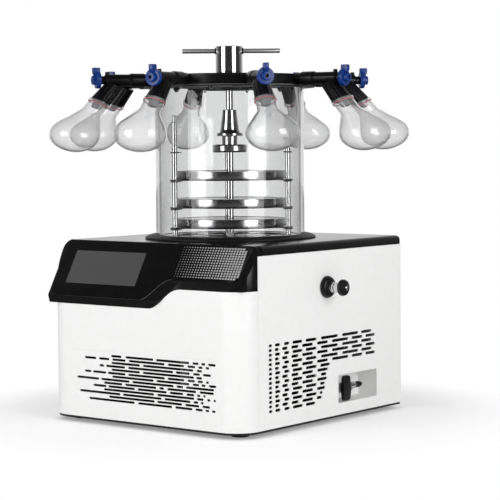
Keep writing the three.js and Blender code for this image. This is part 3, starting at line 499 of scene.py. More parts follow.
# Clear acrylic and glass: edge paints shade that darkens their rims.
ACRYLIC = material("clear_acrylic", "acrylic", (0.91, 0.912, 0.914), 0.0, transmission=1,
                   ior=1.03, coat=1, coat_rough=0.03, edge=(0.6, 0.2))
GLASS = material("clear_glass", "flask_glass", (0.945, 0.945, 0.947), 0.0,
                 transmission=0.93, ior=1.02, coat=0.9, coat_rough=0.015, edge=(0.62, 0.12))


# ---------------- cabinet
FRONT_SLOT_H = 4.5
FRONT_SLOTS = [
    (133.5, [(-75, -48), (-38.5, 31), (37, 118), (125, 140), (146, 156), (162, 180)]),
    (127.0, [(-143, -112.5), (-106, -79), (-72, -38), (-30.5, 58.5), (66, 105.5),
             (113, 132), (138.5, 149.5), (156, 165)]),
    (120.5, [(-74, -2), (5, 127.5), (135, 148)]),
    (114.0, [(-105, -93), (-88, -39), (-32, 79), (85, 119), (126.5, 143), (149.5, 169)]),
    (107.5, [(-74, -2), (4.5, 129), (134, 148)]),
    (101.0, [(-143, -125.5), (-122, -87.5), (-83.5, -38.5), (-32, 59), (65, 106),
             (113, 131), (137, 150), (156.5, 164)]),
    (94.6, [(-72.5, 31.5), (38, 118), (125, 141), (146, 156), (163, 181)]),
    (88.1, [(-163, -106), (-101, -28.5), (-22, 80), (86.5, 103), (109, 176)]),
    (81.7, [(-94, -47), (-40, 37.5), (44.5, 56.5), (64, 134), (141.5, 175.5)]),
    (75.3, [(-121, -87), (-82.5, -15.5), (-9, 63), (70, 103), (110, 129), (135, 143.5),
            (150, 156)]),
    (68.9, [(-94, 32), (39.5, 129), (135, 151), (159, 167), (174, 180)]),
    (62.4, [(-156, -52), (-46, 50.5), (57, 120), (127, 138.5), (144, 151)]),
    (55.9, [(-81, 33.5), (39, 100), (107, 141), (148, 166)]),
    (49.3, [(-132, -16), (-8, 76), (83, 124.5), (131.5, 149), (155.5, 164), (170, 179)]),
]
SIDE_SLOT_H = 5.7
SIDE_ROW_Z, SIDE_PITCH = 165.0, 8.6
SIDE_ODD = [(-191.3, -180.8), (-172.6, -156.5), (-144.8, -128.5), (-119, -88),
            (-78, -43.3), (-29.3, 26), (40, 94), (103.7, 139.3)]
SIDE_EVEN = [(-191.3, -181.3), (-173, -160.5), (-151.2, -133.5), (-122.8, -100.3),
             (-89.3, -54.5), (-42.3, -6.5), (6.3, 60.8), (71.7, 108), (118.6, 151.3)]
SIDE_SHORT = [(-32.2, 0), (-41.5, -7.2), (-30.2, -11.5), (-42.2, -10), (-33, -17),
              (-43, -16), (-34.5, -24), (-44, -27), (-78, -48)]
LEFT_ROWS = [(z, [(-190, -25), (-5, 155)]) for z in (165, 152, 139, 126, 113, 100)]


def lip_points(steps=20):
    """The S-shaped step of the fascia's lower edge, from left to right, as (x, z)."""
    a = Vector((LIP_X[0], LIP_LOW))
    b = Vector((LIP_X[0] + 30, LIP_LOW))
    c = Vector((LIP_X[1] - 35, LIP_HIGH))
    d = Vector((LIP_X[1], LIP_HIGH))
    out = []
    for k in range(steps + 1):
        t = k / steps
        p = a * (1 - t) ** 3 + b * 3 * t * (1 - t) ** 2 + c * 3 * t * t * (1 - t) + d * t ** 3
        out.append((p.x, p.y))
    return out


def front_panel():
    """Sheet wrapped round the two front corners, with the vent slots cut in it."""
    flat = HALF_W - CORNER_R
    reach = flat + CORNER_R * math.pi / 2
    lip = [(x, z - GAP) for x, z in lip_points()]
    outline = [(-reach, PANEL_Z0), (reach, PANEL_Z0), (reach, LIP_HIGH - GAP), *reversed(lip),
               (-reach, LIP_LOW - GAP)]
    holes = [slot_loop(ends, z, FRONT_SLOT_H) for z, row in FRONT_SLOTS for ends in row]
    bm = bm_from(*prism_data([outline, *holes], 0, SHEET))
    steps = 12
    for k in range(steps + 1):
        s = flat + k * (reach - flat) / steps - (0.01 if k == steps else 0)
        for side in (-1, 1):
            bmesh.ops.bisect_plane(bm, geom=[*bm.verts, *bm.edges, *bm.faces],
                                   plane_co=(side * s, 0, 0), plane_no=(1, 0, 0))
    for v in bm.verts:
        s, z, depth = v.co
        over = max(abs(s) - flat, 0) / CORNER_R
        r = CORNER_R - depth
        side = 1 if s > 0 else -1
        x = side * (flat + r * math.sin(over)) if over else s
        v.co = (x, FRONT + CORNER_R - r * math.cos(over), z)
    finish_mesh("front_skin", bm, WHITE, replaces=["front_panel"])


def vent_border():
    """Soft raised line round the front vents: top, upper left corner and left side."""
    path = fillet([(-174, 52), (-174, 142), (176, 142)], 14, 8, closed=False)
    pts = [Vector((x, FRONT + 0.5, z)) for x, z in path]
    make("vent_border", *tube_data(pts, 1.2, 8), WHITE)


def side_rows():
    rows = []
    for i in range(15):
        z = SIDE_ROW_Z - i * SIDE_PITCH
        full = SIDE_ODD if i % 2 == 0 else SIDE_EVEN
        if i < 6:
            rows.append((z, full))
        elif i == 14:
            rows.append((z, [*full[:4], SIDE_SHORT[8]]))
        else:
            rows.append((z, [*full[:5], SIDE_SHORT[i - 6]]))
    return rows


def side_panel(node, side):
    y0, z1 = SIDE[0].y, SIDE[1].z
    outline = rect((y0, BACK), (PANEL_Z0, z1))
    rows = side_rows() if side > 0 else LEFT_ROWS
    holes = [slot_loop(ends, z, SIDE_SLOT_H) for z, row in rows for ends in row]
    if side > 0:
        holes.append(round_rect(RECESS_Y, RECESS_Z, 3))
    x = (HALF_W - SHEET, HALF_W) if side > 0 else (-HALF_W, SHEET - HALF_W)
    make(node + "_skin", *prism_data([outline, *holes], *x), WHITE, replaces=[node],
         place=ALONG_X)


def vent_shade_sheet():
    """Dark sheet behind the left vents, painted shade that keeps light out of the cabinet so the
    vent slots read black.
    """
    rows = [(z, ends) for z, row in LEFT_ROWS for ends in row]
    y = (min(e[0] for _, e in rows) - 8, max(e[1] for _, e in rows) + 8)
    z = (min(z for z, _ in rows) - 8, max(z for z, _ in rows) + 8)
    x = SHEET - HALF_W + GAP
    make("vent_shade_sheet", *prism_data([round_rect(y, z, 2)], x, x + 1), RUBBER, place=ALONG_X)


def rear_panel():
    w, z1 = HALF_W - SHEET - GAP, CAP_Z[0] - GAP
    outline = rect((-w, w), (PANEL_Z0, z1))
    holes = [round_rect(INLET_X, INLET_Z, 2), circle_loop(0, VACUUM_Z, 14)]
    for i in range(-5, 6):
        reach = math.sqrt(FAN_R ** 2 - (i * 12) ** 2)
        holes.append(slot_loop((FAN[0] - reach, FAN[0] + reach), FAN[1] + i * 12, 7))
    make("rear_skin", *prism_data([outline, *holes], BACK - SHEET, BACK), WHITE,
         replaces=["rear_panel"], place=ALONG_Y)


def rear_screws():
    """Pan-head screws that hold the rear panel."""
    parts = []
    for x in (-228, -76, 76, 228):
        for z in (22, 318):
            head = lathe_data([(0, 0), (3.6, 0), (3.6, 0.8), (2.6, 1.7), (0, 1.9)], 20)
            parts.append(moved(head, to_axis((0, 1, 0), (x, BACK, z))))
    make("rear_screws", *join(parts), GREY_METAL)


def footprint(inset, y_back, r_back=2.0, steps=12):
    w, r = HALF_W - inset, CORNER_R - inset
    f = FRONT + inset
    left = [(-w + r - r * math.sin(t), f + r - r * math.cos(t))
            for t in (k * math.pi / 2 / steps for k in range(steps, -1, -1))]
    right = [(-x, y) for x, y in reversed(left)]
    back = fillet([(w, f + r), (w, y_back), (-w, y_back), (-w, f + r)], r_back, 4,
                  closed=False)[1:-1]
    return left + right + back


def base_tray():
    tray = span("base_tray")
    # Black tray under the body: partly a real black base, partly painted shade along the cabinet's
    # lower edge.
    make("tray_plate", *prism_data([footprint(1, tray[1].y)], tray[0].z, tray[1].z), PLASTIC,
         replaces=["base_tray"])


def feet():
    for i in range(1, 5):
        low, high = span(f"foot_{i}")
        r = (high.x - low.x) / 2
        profile = [(0, 0), (r - 4, 0), (r - 2.4, 0.5), (r - 1.4, 2), (r, 5.6), (r, 6.8),
                   (r - 0.9, high.z), (0, high.z)]
        lathe(f"foot_pad_{i}", profile, RUBBER, 48, replaces=[f"foot_{i}"],
              place=foot_point(f"foot_{i}"))


def loft(loops, heights, holes=()):
    """Stack of loops of equal length, closed at both ends; holes go right through."""
    m = len(loops[0])
    verts = [(x, y, z) for loop, z in zip(loops, heights) for x, y in loop]
    faces = []
    for k in range(len(loops) - 1):
        for i in range(m):
            j = (i + 1) % m
            faces.append((k * m + i, k * m + j, (k + 1) * m + j, (k + 1) * m + i))
    ends = [(0, loops[0], heights[0]), ((len(loops) - 1) * m, loops[-1], heights[-1])]
    rims = []
    for start, loop, z in ends:
        index = list(range(start, start + m))
        for hole in holes:
            rims.append((len(verts), len(hole)))
            index += range(len(verts), len(verts) + len(hole))
            verts += [(x, y, z) for x, y in hole]
        tris = tessellate_polygon([[Vector((x, y, 0)) for x, y in lp] for lp in (loop, *holes)])
        faces += [tuple(index[i] for i in t) for t in tris]
    for (a, n), (b, _) in zip(rims[:len(holes)], rims[len(holes):]):
        faces += [(a + i, a + (i + 1) % n, b + (i + 1) % n, b + i) for i in range(n)]
    return verts, faces


def top_cap():
    front = FRONT + FASCIA_BACK + GAP
    bevel, steps = 9.0, 6
    loops, heights = [], []

    def level(inset, z):
        w = HALF_W - inset
        back = fillet([(w, front), (w, BACK - inset), (-w, BACK - inset), (-w, front)],
                      max(5 - inset, 1.5), 6, closed=False)
        loops.append(back)
        heights.append(z)

    level(0.8, CAP_Z[0])
    level(0, CAP_Z[0] + 0.8)
    for k in range(steps + 1):
        a = k * math.pi / 2 / steps
        level(bevel * (1 - math.cos(a)), CAP_Z[1] - bevel * (1 - math.sin(a)))
    make("cap_skin", *loft(loops, heights, [circle_loop(0, 0, TRAP_R + 10, 72)]), CAP_BLACK,
         replaces=["top_cap"], smooth=30)


def slope_frame():
    """X to the right, Y up the slope, Z out of it."""
    c, s = math.cos(SLOPE), math.sin(SLOPE)
    return Matrix(((1, 0, 0, 0), (0, c, -s, FRONT), (0, s, c, SLOPE_Z), (0, 0, 0, 1)))


def fascia():
    k = math.tan(SLOPE)
    top = (CAP_Z[1] - SLOPE_Z) / k
    low = -8.1 * math.cos(SLOPE)
    low_z = SLOPE_Z - 8.1 * math.sin(SLOPE)
    side = [(FRONT, LIP_LOW), (FRONT + low, low_z), (FRONT + top, CAP_Z[1]),
            (FRONT + FASCIA_BACK, CAP_Z[1]), (FRONT + FASCIA_BACK, CAP_Z[0]),
            (FRONT + CORNER_R, CAP_Z[0]), (FRONT + CORNER_R, LIP_LOW)]
    wedge = bm_from(*prism_data([side], -HALF_W, HALF_W), place=ALONG_X)
    above = [(-300, LIP_LOW), *lip_points(), (300, LIP_HIGH), (300, 420), (-300, 420)]

    def over():
        return bm_from(*prism_data([above], FRONT - 30, FRONT + 90), place=ALONG_Y)

    def plan():
        body = bm_from(*prism_data([footprint(0, BACK)], 150, 400))
        view = round_rect((-HALF_W, HALF_W), (150, CAP_Z[1]), 19, 8)
        return boolean(body, bm_from(*prism_data([view], FRONT - 30, FRONT + 90),
                                     place=ALONG_Y), "INTERSECT")

    slab = bm_from(*prism_data([round_rect((-FASCIA_HALF_W, FASCIA_HALF_W),
                                           (-60, FASCIA_TOP_V), FASCIA_R, 10)], -16, 0),
                   place=slope_frame())
    below = [(-300, 150), (300, 150), (300, LIP_HIGH), *reversed(lip_points()),
             (-300, LIP_LOW)]
    lean = Matrix.Identity(4)
    lean[2][1] = LIP_RISE
    lean[2][3] = -LIP_RISE * FRONT
    lip = bm_from(*prism_data([below], FRONT, FRONT + 40), place=lean @ ALONG_Y)
    lip = boolean(lip, over(), "INTERSECT")
    lip = boolean(lip, plan(), "INTERSECT")
    lip = boolean(lip, block((-300, 300), (FRONT, FRONT + CORNER_R), (200, CAP_Z[0])),
                  "INTERSECT")
    shape = boolean(wedge, over(), "INTERSECT")
    shape = boolean(shape, boolean(plan(), slab, "UNION"), "INTERSECT")
    shape = boolean(shape, lip, "UNION")
    soften(shape, 1.4, 3, 24)
    finish_mesh("fascia_frame", shape, FRAME_BLACK, replaces=["fascia"], smooth=30)


def fascia_glass():
    """Glossy panel that carries the screen; its lower edge follows the S-shaped step."""
    rise = [(0, -8), (10, -6.6), (20, 1), (30, 13), (40, 25), (50, 32.5), (60, 36.5), (70, 38)]
    right = fillet([(70, 38), (214, 38), (226, 111)], 22, 8, closed=False)[1:-1]
    top = fillet([(226, 111), (-232, 111), (-232, 6), (-217, -8), (0, -8)], 18, 8,
                 closed=False)[1:-1]
    outline = rise + right + [(226, 111)] + top
    bm = bm_from(*prism_data([outline], -0.6, 1.5))
    soften(bm, 1.2, 4, 40)
    finish_mesh("fascia_glass", bm, GLOSS_BLACK, place=slope_frame(), smooth=30)


def touch_screen():
    make("screen_glass", *prism_data([round_rect(SCREEN_U, SCREEN_V, 1.2, 4)], -1.6, 1.56),
         SCREEN, replaces=["touch_screen"], place=slope_frame())


def halftone():
    """Field of small silver squares that fades out to the left."""
    parts = []
    columns, rows = 24, 13
    u0, u1, v0, v1 = 64.0, 217.0, 41.5, 107.0
    for i in range(columns):
        for j in range(rows):
            t = i / (columns - 1)
            if i == columns - 1 and j in (0, rows - 1):
                continue
            u = u0 + (u1 - u0) * (i + 0.5) / columns
            v = v0 + (v1 - v0) * (j + 0.5) / rows
            size = 0.18 + 0.58 * t ** 0.7
            a, b = (u1 - u0) / columns * size / 2, (v1 - v0) / rows * size / 2
            parts.append(prism_data([rect((u - a, u + a), (v - b, v + b))], 1.4, 1.58))
    make("halftone_squares", *join(parts), SILVER, place=slope_frame())


# ---------------- chamber
def cold_trap():
    z1 = RACK_Z[0] - GAP
    z0 = z1 - 3
    trap_z0, wall = span("cold_trap")[0].z + 14, 2.5
    ro = TRAP_R + wall
    flange = RING_R - 23
    profile = [(0, trap_z0), (ro - 12, trap_z0), (ro - 4, trap_z0 + 3), (ro, trap_z0 + 12),
               (ro, z0), (flange, z0), (flange, z1), (TRAP_R + 2.2, z1),
               (TRAP_R + 0.6, z1 - 0.5), (TRAP_R, z1 - 2.2), (TRAP_R, trap_z0 + 14),
               (TRAP_R - 3, trap_z0 + 6), (TRAP_R - 10, trap_z0 + wall), (0, trap_z0 + wall)]
    lathe("trap_pot", profile, STEEL, 96, replaces=["cold_trap"])
    probe = lathe_data([(0, 0), (5.2, 0), (5.2, 3), (4.4, 3.6), (4.4, 11), (3, 13), (0, 13.2)], 24)
    make("trap_probe", *moved(probe, Matrix.Translation((61, -78, z1))), GREY_METAL)
    make("trap_drain", *rod_data(6, trap_z0 - 14, trap_z0 + 2, 24), GREY_METAL)
    coil = [lathe_data(circle_loop(ro + 3.4, trap_z0 + 18 + k * 11, 3.2, 10), 48)
            for k in range(7)]
    make("trap_coil", *join(coil), COPPER)


def vacuum_pipe():
    end = span("cold_trap")[1].y
    y0 = 90
    reach = end - y0
    profile = [(9, 0), (12, 0), (12, reach - 6), (20, reach - 5), (20, reach - 1),
               (19, reach), (10, reach), (9, reach - 1)]
    lathe("vacuum_pipe", profile, STEEL, 48, place=to_axis((0, 1, 0), (0, y0, VACUUM_Z)))


def base_ring():
    inner, (z0, z1) = RING_R - 21.9, RING_Z
    profile = fillet([(inner, z0), (RING_R, z0), (RING_R, z0 + 2.6), (RING_R - 4, z0 + 5),
                      (RING_R - 12, z1), (inner, z1)], 1.2, 3)
    lathe("ring_gasket", profile, RUBBER, 128, replaces=["base_ring"])


def chamber_tube():
    lathe("chamber_wall", round_rect((TUBE_RI, TUBE_RO), TUBE_Z, 0.6, 2), ACRYLIC, 160,
          replaces=["chamber_tube"])


def rack():
    z0, z1 = RACK_Z
    parts = [lathe_data(round_rect((114, 133), RACK_Z, 0.8, 2), 96),
             lathe_data([(0, z0), (15, z0), (15, z1 + 3), (14, z1 + 4), (0, z1 + 4)], 40),
             rod_data(ROD_R, z0, COLUMN_TOP, 40)]
    for turn in POST_TURNS:
        spin = Matrix.Rotation(turn * RAD, 4, "Z")
        spoke = prism_data([rect((10, 120), (-5, 5))], z0, z1)
        parts.append(moved(spoke, spin))
        post = lathe_data([(0, z0), (POST_R, z0), (POST_R, POST_TOP - 14),
                           (POST_R - 1, POST_TOP - 13), (POST_R - 1, POST_TOP - 1),
                           (POST_R - 2, POST_TOP), (0, POST_TOP)], 24)
        parts.append(moved(post, spin @ Matrix.Translation((POST_RING, 0, 0))))
    make("rack_rods", *join(parts), POLISHED, replaces=["rack_frame"])


def rack_clips():
    """Clamp rings and spring wires that hold each shelf on its posts."""
    parts = []
    levels = [top - SHELF_PLATE - SHELF_CARRIER - GAP - 2.4 for top in SHELF_TOPS] + [514.0]
    for turn in POST_TURNS:
        spin = Matrix.Rotation(turn * RAD, 4, "Z")
        for z in levels:
            ring = lathe_data(round_rect((POST_R, 7.6), (0, 2.4), 0.6, 2), 24)
            place = spin @ Matrix.Translation((POST_RING, 0, z))
            parts.append(moved(ring, place))
            wire = tube_data([(-7, -11, 1.4), (-5.8, 0, 1.2), (-7, 11, 1.6)], 0.8, 8)
            parts.append(moved(wire, place @ Matrix.Rotation(0.4, 4, "Z")))
            pin = tube_data([(-9, 0, 0.9), (8.5, 0, 0.9)], 0.9, 8)
            parts.append(moved(pin, place @ Matrix.Rotation(turn * 1.7 * RAD, 4, "Z")))
    make("rack_clips", *join(parts), DARK_STEEL)


def shelf(i):
    top = SHELF_TOPS[i - 1]
    z0 = top - SHELF_PLATE
    c0 = z0 - SHELF_CARRIER
    bore = 7.9
    rim = fillet([(bore, z0), (SHELF_R, z0), (SHELF_R, top), (SHELF_R - 4, top),
                  (SHELF_R - 5, top - 1.2), (bore, top - 1.2)], 0.9, 3)
    lathe(f"shelf_plate_{i}", rim, STEEL, 128, replaces=[f"shelf_{i}"])
    parts = [lathe_data(rect((bore, SHELF_R - 6), (c0, z0)), 96)]
    for turn in POST_TURNS:
        ear = round_rect((88, 133.5), (-8, 8), 5, 5)
        hole = circle_loop(POST_RING, 0, POST_R + 0.8, 20)
        parts.append(moved(prism_data([ear, hole], c0, z0 - GAP),
                           Matrix.Rotation(turn * RAD, 4, "Z")))
    make(f"shelf_carrier_{i}", *join(parts), DARK_STEEL)


def lid():
    plate = fillet([(7.4, LID_Z[1]), (LID_R, LID_Z[1]), (LID_R, LID_Z[2]), (7.4, LID_Z[2])],
                   1.8, 4, only=(1, 2))
    lathe("lid_plate", plate, LID_BLACK, 128, replaces=["lid_disc"])
    # The steel flange under the lid gets the dark steel colour as painted shade under the lid.
    under = [(7.4, LID_UNDER - 6), (49, LID_UNDER - 6), (50, LID_UNDER - 5), (50, LID_UNDER),
             (LID_FLANGE_R - 1, LID_UNDER), (LID_FLANGE_R, LID_UNDER + 0.8),
             (LID_FLANGE_R, LID_Z[0] - 0.6), (LID_FLANGE_R - 0.8, LID_Z[0]), (146, LID_Z[0]),
             (146, LID_Z[1]), (7.4, LID_Z[1])]
    lathe("lid_flange_shade", under, DARK_STEEL, 128)


def lid_bolts():
    parts = []
    for k in range(8):
        a = (k * 45 + 20) * RAD
        nut = prism_data([[(5.2 * math.cos(t), 5.2 * math.sin(t))
                           for t in (i * math.pi / 3 for i in range(6))]],
                         LID_UNDER - 5, LID_UNDER)
        stud = rod_data(2.6, LID_UNDER - 8.5, LID_UNDER - 4.8, 16)
        place = Matrix.Translation((112 * math.cos(a), 112 * math.sin(a), 0))
        parts += [moved(nut, place), moved(stud, place)]
    make("lid_bolts", *join(parts), DARK_STEEL)


def lid_seal():
    low, high = span("lid_seal")
    profile = round_rect((148.0, high.x), (low.z, high.z), 0.4, 3)
    lathe("lid_gasket", profile, SEAL, 128, replaces=["lid_seal"])


def handle():
    z0, z1 = HUB_Z
    body = fillet([(ROD_R + 0.8, z0), (HUB_R, z0), (HUB_R, z1), (0, z1), (0, 702),
                   (ROD_R + 0.8, 702)], 1.6, 4, only=(1, 2))
    lathe("hub_body", body, POLISHED, 96, body="handle", replaces=["handle_hub"])
    length = BAR_ENDS[1] - BAR_ENDS[0]
    tip = 1.6
    profile = [(0, 0), (BAR_R - tip, 0), (BAR_R - 0.4, 0.5), (BAR_R, tip), (BAR_R, length - tip),
               (BAR_R - 0.4, length - 0.5), (BAR_R - tip, length), (0, length)]
    turn = Matrix.Rotation(BAR_TURN, 4, "Z")
    place = turn @ to_axis((1, 0, 0), (BAR_ENDS[0], 0, BAR_Z))
    lathe("bar_body", profile, TURNED, 40, body="handle", replaces=["handle_bar"],
          place=place)
    collars = []
    for side in (-1, 1):
        ring = lathe_data(round_rect((BAR_R, 6.4), (-1, 1.4), 0.6, 3), 32)
        collars.append(moved(ring, turn @ to_axis((1, 0, 0), (side * (HUB_R + 0.2), 0, BAR_Z))))
    make("bar_collars", *join(collars), DARK_STEEL, body="handle")


def press():
    low, high = span("press_rod")
    make("press_screw", *rod_data(ROD_R, low.z, high.z, 40), POLISHED, body="press",
         replaces=["press_rod"])
    profile = [(8, 514.4), (31, 514.4), (33.8, 517), (33.8, 527.5), (31, 530), (15, 530),
               (15, 546.5), (25.7, 546.5), (25.7, 552.2), (20.5, 552.2), (18.4, 558.6),
               (14, 590), (14, 597), (0, 597), (0, 582), (8, 582)]
    profile = fillet(profile, 1.2, 3, only=(1, 2, 3, 4, 6, 7, 8, 9, 10, 12))
    lathe("press_sleeve", profile, POLISHED, 80, body="press", replaces=["press_boss"])


# ---------------- ports
def port_frame(i):
    return Matrix.Rotation(PORT_TURNS[i] * RAD, 4, "Z")


def leg_frame():
    """Z runs along the flask's axis from its slanted mouth to its bottom."""
    c, s = math.cos(TILT), math.sin(TILT)
    place = Matrix(((c, 0, s, MOUTH.x), (0, 1, 0, 0), (s, 0, -c, MOUTH.z), (0, 0, 0, 1)))
    slant = Matrix.Identity(4)
    slant[2][0] = SLANT
    return place @ slant


FLUTES = 12


def flute(a):
    """Rounded longitudinal ribs."""
    return 1 - 0.06 * max(0.0, math.cos(FLUTES * a)) ** 2


def valve_body(i):
    rim = LID_R + GAP
    arm = fillet([(0, rim), (PORT_R, rim), (PORT_R, 170), (13.2, 173), (13.2, 199),
                  (PORT_R, 203), (PORT_R, 250), (8, 252), (8, KNOB_X - GAP),
                  (5, KNOB_X - GAP), (5, KNOB_X + 9), (0, KNOB_X + 9)], 1.2, 3, closed=False)
    arm = moved(lathe_data(arm, 40), to_axis((1, 0, 0), (0, 0, PORT_Z)))
    nub = lathe_data([(0, 6), (4.2, 6), (4.2, 14.6), (3.2, 16), (0, 16)], 20)
    nub = moved(nub, Matrix.Translation((246, 0, PORT_Z)))
    make(f"port_arm_{i + 1}", *join([arm, nub]), ADAPTER, replaces=[f"valve_body_{i + 1}"],
         place=port_frame(i))
    leg = fillet([(0, -42), (15.6, -42), (18.4, -3), (18.6, -0.3), (0, -0.3)], 0.8, 2,
                 closed=False)
    lathe(f"adapter_{i + 1}", leg, ADAPTER, 96, wave=flute, smooth=50,
          place=port_frame(i) @ leg_frame())
    plug = fillet([(0, -0.5), (15.2, -0.5), (15.1, 2), (9.8, 6.5), (8.8, 16.5), (6.6, 16.5),
                   (6.4, 3), (0, 3)], 0.5, 2, closed=False)
    lathe(f"stopper_{i + 1}", plug, STOPPER, 48, place=port_frame(i) @ leg_frame())


def valve_knob(i):
    body = f"knob_{i + 1}"
    x0, x1 = KNOB_X, KNOB_X + 9
    disc = fillet([(5.7, x0), (16, x0), (16, x1), (9.2, x1), (8.4, x1 + 7.4), (3.8, x1 + 7.6),
                   (3.6, x1 + 1.6), (0, x1 + 1.6), (0, x1 - 0.3), (5.7, x1 - 0.3)], 1.4, 4,
                  only=(1, 2, 4))
    disc = moved(lathe_data(disc, 48), to_axis((1, 0, 0), (0, 0, PORT_Z)))
    tab = bm_from(*prism_data([fillet([(x0, PORT_Z + 6), (x0 + 11, PORT_Z + 6),
                                       (x0 + 15, PORT_Z + 15), (x0 + 15, PORT_Z + 24),
                                       (x0, PORT_Z + 24)], 2.4, 4)], -4.5, 4.5),
                  place=ALONG_Y)
    soften(tab, 1.3, 3, 40)
    verts = [tuple(v.co) for v in tab.verts]
    tab.verts.index_update()
    faces = [tuple(v.index for v in f.verts) for f in tab.faces]
    tab.free()
    make(f"knob_wing_{i + 1}", *join([disc, (verts, faces)]), BLUE, body=body,
         replaces=[f"valve_knob_{i + 1}"], place=port_frame(i))
    # Dark disc at the bottom of the knob's centre hole: painted shade.
    bore = rod_data(3.5, x1 + 1.4, x1 + 2.2, 24, 0.1)
    make(f"knob_bore_shade_{i + 1}", *bore, BORE_SHADE, body=body,
         place=port_frame(i) @ to_axis((1, 0, 0), (0, 0, PORT_Z)))


def smooth_profile(points, steps=4):
    """Catmull-Rom curve through the points."""
    out = []
    n = len(points)
    for i in range(n - 1):
        a, b = Vector(points[max(i - 1, 0)]), Vector(points[i])
        c, d = Vector(points[i + 1]), Vector(points[min(i + 2, n - 1)])
        for k in range(steps):
            t = k / steps
            out.append(tuple(0.5 * ((2 * b) + (c - a) * t + (2 * a - 5 * b + 4 * c - d) * t * t
                                    + (3 * b - a - 3 * c + d) * t ** 3)))
    out.append(tuple(points[-1]))
    return out


def hung(data):
    """Flattens the bulb a little and lets it hang below the neck's axis."""
    verts, faces = data
    out = []
    for x, y, z in verts:
        t = min(max((z - 25) / 35, 0), 1)
        t = t * t * (3 - 2 * t)
        out.append((x * (1 - 0.133 * t) - 2.8 * t, y, z))
    return out, faces


def flask(i):
    lip = fillet([(16.2, 0), (20.8, 0), (20.8, 5), (18.4, 5.6)], 0.9, 3, closed=False)
    outside = smooth_profile([(18.4, 7), (18.4, 23), (19.4, 29), (24.6, 37.5), (32.2, 48),
                              (40.8, 59.5), (47.5, 72), (49.8, 83.3), (46.9, 94.2),
                              (39.2, 105.4), (26.2, 113.6), (13, 117.4), (0, 118.2)])
    inside = smooth_profile([(0, 115.8), (12.6, 115), (24.8, 111.3), (37, 103.6),
                             (44.5, 93.1), (47.3, 83.2), (45, 73), (38.4, 61.2), (30, 50.2),
                             (22.6, 39.8), (17.6, 32), (16.3, 26), (16.2, 14)])
    profile = [(max(r, 0), z) for r, z in outside + inside + lip]
    profile = [p for k, p in enumerate(profile) if k == 0 or p != profile[k - 1]]
    place = port_frame(i) @ leg_frame()
    make(f"flask_glass_{i + 1}", *hung(lathe_data(profile, 72)), GLASS,
         replaces=[f"flask_{i + 1}"], place=place, smooth=60)
    lathe(f"gasket_{i + 1}", round_rect((18.55, 20.4), (5.4, 7.2), 0.5, 2), RED, 64, place=place)


# ---------------- side fittings
def relief_valve():
    place = to_axis((1, 0, 0), (HALF_W, *RELIEF))
    dome = fillet([(0, 0.3), (21, 0.3), (21, 4.6), (18.6, 9.2), (13, 11.6), (0, 11.6)], 1.8, 4,
                  closed=False)
    lathe("relief_flange", dome, PLASTIC, 64, replaces=["relief_valve"], place=place)
    stem = [(4, 11), (10, 11), (10, 15.4), (9, 16.6), (8.4, 17.4), (8.4, 20), (9.4, 21), (10, 22),
            (10, 34), (9.4, 35), (4, 35)]
    lathe("relief_stem", stem, POLISHED, 48, place=place)
    make("relief_spindle", *moved(rod_data(4, 34, 46, 24), place), GREY_METAL)
    knob = fillet([(4.5, 35.3), (15.5, 35.3), (15.5, 41), (13.5, 44.5), (6.4, 45.2),
                   (6.2, 47.4), (4.5, 47.4)], 1.0, 3, only=(1, 2, 3, 4))
    lathe("relief_wheel", knob, PLASTIC, 64, body="relief", replaces=["relief_knob"],
          place=place)
    nipple = [(0, 46.2), (4.3, 46.2), (4.3, 48.2), (3.2, 49), (0, 49)]
    lathe("relief_nipple", nipple, POLISHED, 32, body="relief", place=place)


def drain_valve():
    along = to_axis((0, 1, 0), (VALVE_X, 0, VALVE_Z))
    thread = [(0, 15)]
    for k in range(16):
        y = 15.5 + k * 2.1
        thread += [(7.0, y), (7.8, y + 0.7), (7.8, y + 1.3), (7.0, y + 2.0)]
    thread += [(0, 50)]
    lathe("drain_stub", thread, PLASTIC, 40, replaces=["drain_valve"], place=along)
    body = block((VALVE_X - 9, VALVE_X + 8), (48, 92), (VALVE_Z - 8.5, VALVE_Z + 8.5))
    soften(body, 2.2, 3, 40)
    finish_mesh("drain_body", body, GREY_METAL)
    collar = fillet([(0, 91), (7, 91), (7, 108), (0, 108)], 1.2, 3, closed=False)
    lathe("drain_collar", collar, POLISHED, 40, place=along)
    barb = [(0, 106), (4.4, 106), (4.4, 111)]
    for k in range(3):
        y = 111.5 + k * 6.2
        barb += [(6, y), (6, y + 1), (4.5, y + 5.4)]
    barb += [(4.3, 131), (2.6, 131), (2.6, 122), (0, 122)]
    lathe("drain_nozzle", barb, DARK_STEEL, 32, place=along)
    low, high = span("drain_lever")
    y, z = (low.y + high.y) / 2, (low.z + high.z) / 2
    outline = fillet([(y - 9, low.z), (y + 10, low.z), (y + 13, z - 6), (y + 10, high.z),
                      (y - 9, high.z), (y - 12, z - 6)], 6, 6)
    lever = bm_from(*prism_data([outline], low.x, high.x), place=ALONG_X)
    soften(lever, 2.4, 3, 40)
    finish_mesh("drain_grip", lever, PLASTIC, body="drain", replaces=["drain_lever"])


# ---------------- inside and rear
def compressor():
    z0 = span("compressor")[0].z
    profile = smooth_profile([(66, z0 + 8), (68, z0 + 20), (68, z0 + 106), (58, z0 + 128),
                              (34, z0 + 140), (0, z0 + 143.7)], 4)
    profile = [(0, z0), (76, z0), (76, z0 + 5), (66, z0 + 6)] + profile
    lathe("compressor_shell", profile, PLASTIC, 64, replaces=["compressor"],
          place=foot_point("compressor"))


